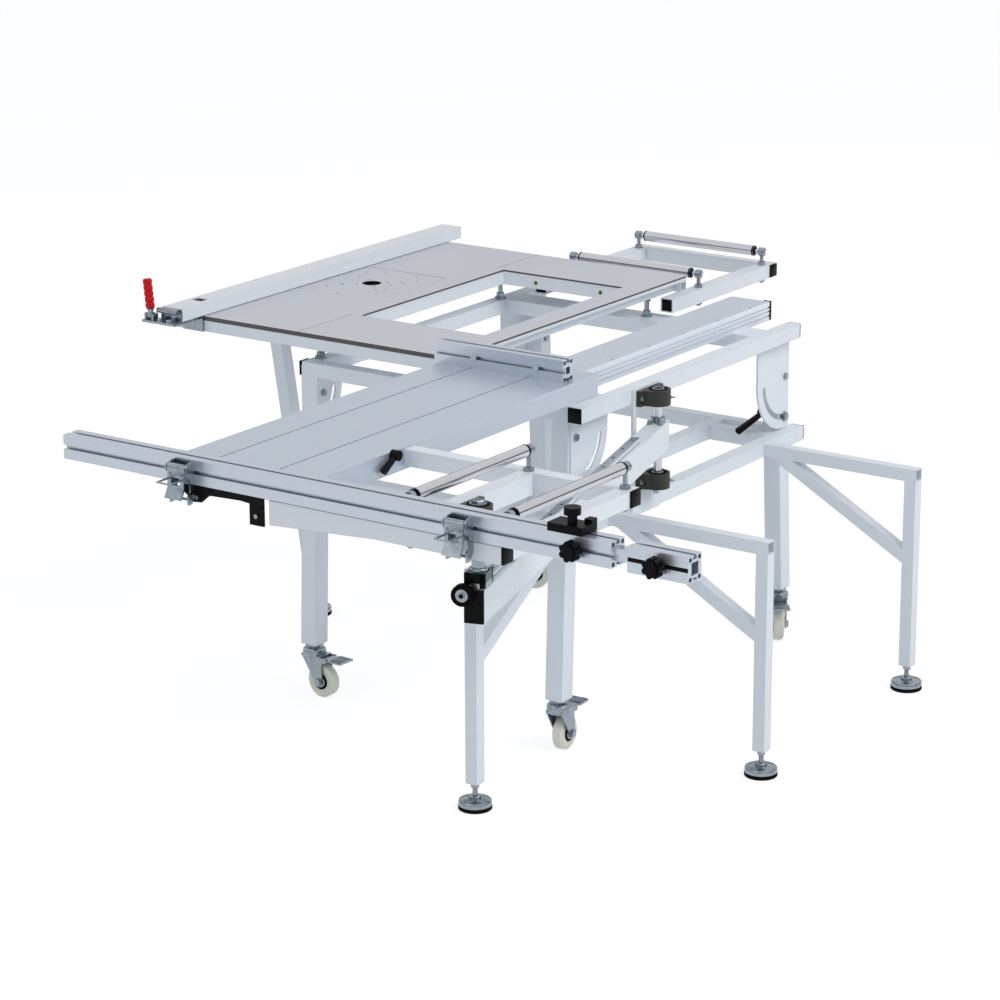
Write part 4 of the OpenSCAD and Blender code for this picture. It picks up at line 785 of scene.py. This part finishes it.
# %% Guide rail, its counterbores and the clamp screws
RAIL_START, FIRST_BORE, BORE_PITCH, BORES = 184.5, 210, 75, 14
BORE_LEVEL, CLAMP_SCREWS_ALONG = ARM_TOP + 11.9, 27
bm = bmesh.new()
right_half = [(10.1, 0.2), (10.1, 3.0), (7.5, 5.0), (7.5, 7.5), (10.1, 9.5), (10.1, 11.4), (9.4, 12.1)]
section = [(-u, v) for u, v in right_half] + right_half[::-1]
sheet(bm, section, ARM_END - RAIL_START,
      lambda u, v, w: on_plan(*on_arm(RAIL_START + w, u, ARM_TOP + v)))
trim("arm_guide_rail", bm, zinc, "swing_arm")
# Flat black discs at the counterbores: painted shade of the recesses.
bores = [(on_arm(FIRST_BORE + BORE_PITCH * i, 0, BORE_LEVEL), UP) for i in range(BORES)]
heads("arm_rail_counterbore_shade", bores, "swing_arm",
      black_plastic, radius=4.2, height=0.3, sides=16)
clamp_screws = [(on_arm(CLAMP_SCREWS_ALONG, s, ARM_TOP), UP) for s in (-13, 13)]
heads("arm_clamp_screws", clamp_screws, "swing_arm",
      zinc, radius=5.0, height=9.0, sides=18, washer=6.5)

# %% [markdown]
# ## Collar and hub
# A bright collar sits round the shaft on top of the arm, and the small wheel at the arm's end has a
# bright hub. Both are turned, the hub round an axis that points along the arm.

# %% Shaft collar and wheel hub
WHEEL_AHEAD, WHEEL_ASIDE, WHEEL_HEIGHT = 5.3, -20, 730
COLLAR = [(10.3, 0.3), (16.5, 0.3), (17.5, 1.3), (17.5, 11.0), (16.5, 12.0), (10.3, 12.0)]
HUB = [(13.5, 13.0), (13.5, 13.6), (12.5, 14.4), (7.0, 14.4), (7.0, 16.5), (4.0, 16.5), (4.0, 14.5),
       (0, 14.5)]
bm = bmesh.new()
turned(bm, COLLAR, (*SHAFT, ARM_TOP))
trim("arm_shaft_collar", bm, zinc, "swing_arm")
bm = bmesh.new()
turned(bm, HUB, on_arm(ARM_END + WHEEL_AHEAD, WHEEL_ASIDE, WHEEL_HEIGHT), arm_way, steps=30)
trim("arm_wheel_hub", bm, zinc, "arm_wheel")

# %% [markdown]
# ## Carriage on the arm
# The carriage is a steel block that straddles the guide rail, with green seals and black wipers at
# its ends and a bright post up to the pivot bearing. The plain solid has them all in one, so a few
# pieces stand for it here, each with its finish. Block, seals and wipers are the same saddle shape.

# %% Carriage block, seals, wipers and post
CHEEK_IN, BLOCK_HALF, CARRIAGE_TOP = 10.4, 18, 772
POST = [(0, 771.5), (19.0, 771.5), (19.0, 776.0), (17.5, 777.5), (14.0, 777.5), (14.0, 806.0),
        (13.2, 807.0), (13.2, 809.0), (14.0, 810.0), (14.0, 844.0), (12.5, 846.0), (0, 846.0)]


def saddle(bm, start, end, half_width, low, crown, top, radius):
    # Two cheeks beside the guide rail and a crown over it.
    for left, right in ((-half_width, -CHEEK_IN), (CHEEK_IN, half_width)):
        rounded_block(bm, (start, left, low), (end, right, top), radius, ARM)
    rounded_block(bm, (start, -half_width, crown), (end, half_width, top), radius, ARM)


bm = bmesh.new()
saddle(bm, ARM_REACH - BLOCK_HALF, ARM_REACH + BLOCK_HALF,
       half_width=22, low=742, crown=751.4, top=CARRIAGE_TOP, radius=1.6)
block = trim("carriage_block", bm, zinc, "arm_carriage")
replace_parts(block, "arm_carriage")
for name, near, far, finish in (
    ("carriage_seals", 17.5, 23.4, green_seal), ("carriage_wipers", 23.2, 25.0, black_plastic),
):
    bm = bmesh.new()
    for start, end in ((near, far), (-far, -near)):
        saddle(bm, ARM_REACH + start, ARM_REACH + end,
               half_width=21.6, low=742.6, crown=751.6, top=771.4, radius=0.6)
    trim(name, bm, finish, "arm_carriage")
bm = bmesh.new()
turned(bm, POST, (*PIVOT, 0))
trim("carriage_post", bm, zinc, "arm_carriage")
screws = [(on_arm(ARM_REACH + a, s, CARRIAGE_TOP), UP) for a in (-13, 13) for s in (-17, 17)]
heads("carriage_screws", screws, "arm_carriage", zinc, radius=3.0, height=1.2, sides=12)

# %% [markdown]
# ## Roller bushes
# Rollers have black bushes pressed into their ends. One turned profile serves all eight, and each
# bush rides on its roller, so that it turns with it.

# %% Bushes of the four rollers
ROLLER_BUSH = [(5.4, 0), (11.0, 0), (13.4, 1.0), (13.4, 4.6), (12.6, 5.2)]
BUSH_PROUD = 0.6
REAR_LEFT, REAR_RIGHT, REAR_LEVEL = -263, 69, 905
CROSS_FRONT, CROSS_BACK, CROSS_LEVEL = -1593.5, -1218.5, 949
bush_ends = {}
for name, y in (("rear_roller_near", 503), ("rear_roller_far", 815)):
    bush_ends[name] = (((REAR_LEFT - BUSH_PROUD, y, REAR_LEVEL), TO_RIGHT),
                       ((REAR_RIGHT + BUSH_PROUD, y, REAR_LEVEL), TO_LEFT))
for name, x in (("cross_roller_inner", 735.5), ("cross_roller_outer", 962.5)):
    bush_ends[name] = (((x, CROSS_FRONT - BUSH_PROUD, CROSS_LEVEL), TO_BACK),
                       ((x, CROSS_BACK + BUSH_PROUD, CROSS_LEVEL), TO_FRONT))
for name, ends in bush_ends.items():
    bm = bmesh.new()
    for spot, inwards in ends:
        turned(bm, ROLLER_BUSH, spot, inwards)
    trim(name + "_bushes", bm, black_plastic, name)

# %% [markdown]
# ## Levelling feet
# A levelling foot is a zinc cup on a rubber pad with a threaded stud, so its plain solid gives way
# to two turned pieces. The thread is a zigzag in the profile, drawn at 3 mm pitch, coarser than
# life, so that it shows.

# %% Pads, cups and studs
FOOT_STEPS, STUD_LOW, STUD_TOP = 48, 31.0, 90
THREAD_ROOT, THREAD_CREST, THREAD_PITCH, THREAD_POINTS = 5.3, 6.0, 3.0, 40
thread = [(THREAD_CREST if i % 2 else THREAD_ROOT, STUD_LOW + THREAD_PITCH / 2 * i)
          for i in range(THREAD_POINTS)]
FOOT_PAD = [(0, 0), (36.5, 0), (38.0, 1.5), (38.0, 8.0), (37.2, 9.2), (0, 9.2)]
FOOT_CUP = [(0, 9.1), (36.8, 9.1), (37.4, 10.0), (37.4, 18.0), (36.0, 20.8), (33.0, 22.4),
            (14.0, 24.6), (14.0, 30.0), (13.0, STUD_LOW), (THREAD_CREST, STUD_LOW)]
FOOT_NUT = [(0, 50), (9.6, 50), (10.8, 51), (10.8, 57), (9.6, 58), (0, 58)]
for name, x, y in (
    ("foot_front", 377.5, -889.8), ("foot_middle", 796, -365), ("foot_rear", 796, 330),
    ("foot_side", SIDE_LEG_X, -15),
):
    bm = bmesh.new()
    turned(bm, FOOT_PAD, (x, y, 0), steps=FOOT_STEPS)
    trim(name + "_pad", bm, black_rubber, name)
    bm = bmesh.new()
    turned(bm, FOOT_CUP + thread + [(0, STUD_TOP)], (x, y, 0), steps=FOOT_STEPS)
    turned(bm, FOOT_NUT, (x, y, 0), steps=6)
    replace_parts(trim(name + "_cup", bm, zinc, name), name)

# %% [markdown]
# ## Rip fence handle
# The red grip is moulded over a bright stem that leans a little outwards and turns on a pin. The
# stem rides on the handle, and the pin's ends and the clamp's nuts stay on the fence.

# %% Stem, pin ends and nuts
HANDLE = (-719, -647, 919.5)
STEM_LEAN, PIN_HALF = math.radians(6), 13.5
CLAMP_Y, CLAMP_FACE = -649, 909.5
STEM = [(5.3, 4.0), (5.3, 13.0), (8.6, 13.0), (8.6, 15.8), (7.0, 16.8)]
PIN_BUSH = [(5.0, -7.3), (8.5, -7.3), (8.5, 7.3), (5.0, 7.3)]
bm = bmesh.new()
turned(bm, STEM, HANDLE, (-math.sin(STEM_LEAN), 0, math.cos(STEM_LEAN)), steps=24)
turned(bm, PIN_BUSH, HANDLE, TO_RIGHT, steps=30)
trim("rip_handle_stem", bm, zinc, "rip_handle")
heads("rip_clamp_nuts", [((x, CLAMP_Y, CLAMP_FACE), UP) for x in (-690, -662)], "rip_fence",
      zinc, radius=7.5, height=7.0, washer=9.0)
pin_ends = [((HANDLE[0] - PIN_HALF, *HANDLE[1:]), TO_LEFT),
            ((HANDLE[0] + PIN_HALF, *HANDLE[1:]), TO_RIGHT)]
heads("rip_handle_pin_ends", pin_ends, "rip_fence",
      zinc, radius=6.0, height=2.5, sides=18)

# %% [markdown]
# ## Caster seals and brake treads
# Each nylon wheel turns on a bearing behind a black seal, and each brake pedal has a ribbed tread.
# One loop places them in the turned frame of every caster.

# %% Seals and treads
WHEEL_LEVEL, WHEEL_TRAIL = 40, 28
WHEEL_SEAL = [(14.1, 11.0), (14.1, 15.4), (18.5, 15.0), (20.5, 13.6), (20.5, 11.0)]
TREAD_RIBS, RIB_WIDE, RIB_HALF, RIB_LOW, RIB_TOP = range(66, 98, 6), 4, 21, 100.8, 103.2
for name, x, y, heading in (
    ("front_left", -367.5, -498.5, -3), ("front_right", 337.5, -498.5, 95),
    ("rear_left", -367.5, 498.5, 215), ("rear_right", 337.5, 498.5, -55),
):
    angle = math.radians(heading)
    corner = PLAN @ Matrix.Translation((x, y, 0)) @ Matrix.Rotation(angle, 4, "Z")
    away = Vector((math.cos(angle), math.sin(angle), 0))
    across = Vector((-away.y, away.x, 0))
    axle = Vector((x, y, WHEEL_LEVEL)) + away * WHEEL_TRAIL
    bm = bmesh.new()
    for way in (1, -1):
        turned(bm, WHEEL_SEAL, axle, across * way, steps=32)
    trim("caster_seal_" + name, bm, black_rubber, "caster_wheel_" + name)
    bm = bmesh.new()
    for u in TREAD_RIBS:
        rounded_block(bm, (u, -RIB_HALF, RIB_LOW), (u + RIB_WIDE, RIB_HALF, RIB_TOP),
                      radius=0.8, plan=corner)
    trim("caster_tread_" + name, bm, zinc, "caster_pedal_" + name)

# %% [markdown]
# ## Bracket under the fence
# A black pressed bracket bolts the fence to the crosscut frame. It is simple sheet work, so it is an
# outline with a thickness, and two screws hold it.

# %% Fence bracket
BRACKET_FACE, BRACKET_THICK = -1664, 4.0
bm = bmesh.new()
outline = [(218, 898), (218, 906), (254, 908), (266, 909), (427, 909), (427, 851), (392, 851),
           (392, 893), (369, 895), (292, 892), (272, 875), (252, 873)]
sheet(bm, outline, BRACKET_THICK, lambda u, v, w: on_plan(u, BRACKET_FACE + w, v))
trim("fence_bracket", bm, black_plastic, "slide")
screws = [((x, BRACKET_FACE, z), TO_FRONT) for x, z in ((262, 884), (409, 870))]
heads("fence_bracket_screws", screws, "slide", zinc, radius=4.5, height=3.0, sides=18)

# %% [markdown]
# ## Small hardware of the fence
# Each flip stop swings on a pin in its carrier. The pins' ends ride on the slide, and the rivets of
# a stop swing with it. The fence extension has a dark slot along its front, drawn as a thin black
# strip of painted shade.

# %% Pins, slot and rivets
STOPS = {"left": 210, "right": 875}
STOP_ENDS = ((-0.2, TO_LEFT), (48.2, TO_RIGHT))
PIN_Y, PIN_LEVEL, STOP_FACE, RIVET_LEVEL = -1689, 946, -1696.6, 934
SLOT_LOW, SLOT_HIGH = (1260, -1665.4, 930), (1386.5, -1664.6, 938)
pins = [((x + end, PIN_Y, PIN_LEVEL), way) for x in STOPS.values() for end, way in STOP_ENDS]
heads("stop_carrier_pins", pins, "slide", zinc, radius=6.5, height=3.2)
# A thin black strip: painted shade inside the slot of the fence extension.
bm = bmesh.new()
rounded_block(bm, SLOT_LOW, SLOT_HIGH, radius=0.2)
trim("end_block_slot_shade", bm, black_plastic, "fence_extension")
for side, x in STOPS.items():
    rivets = [((x + u, STOP_FACE, RIVET_LEVEL), TO_FRONT) for u in (10, 38)]
    heads("flip_stop_rivets_" + side, rivets, "flip_stop_" + side,
          zinc, radius=3.0, height=2.0, sides=12)
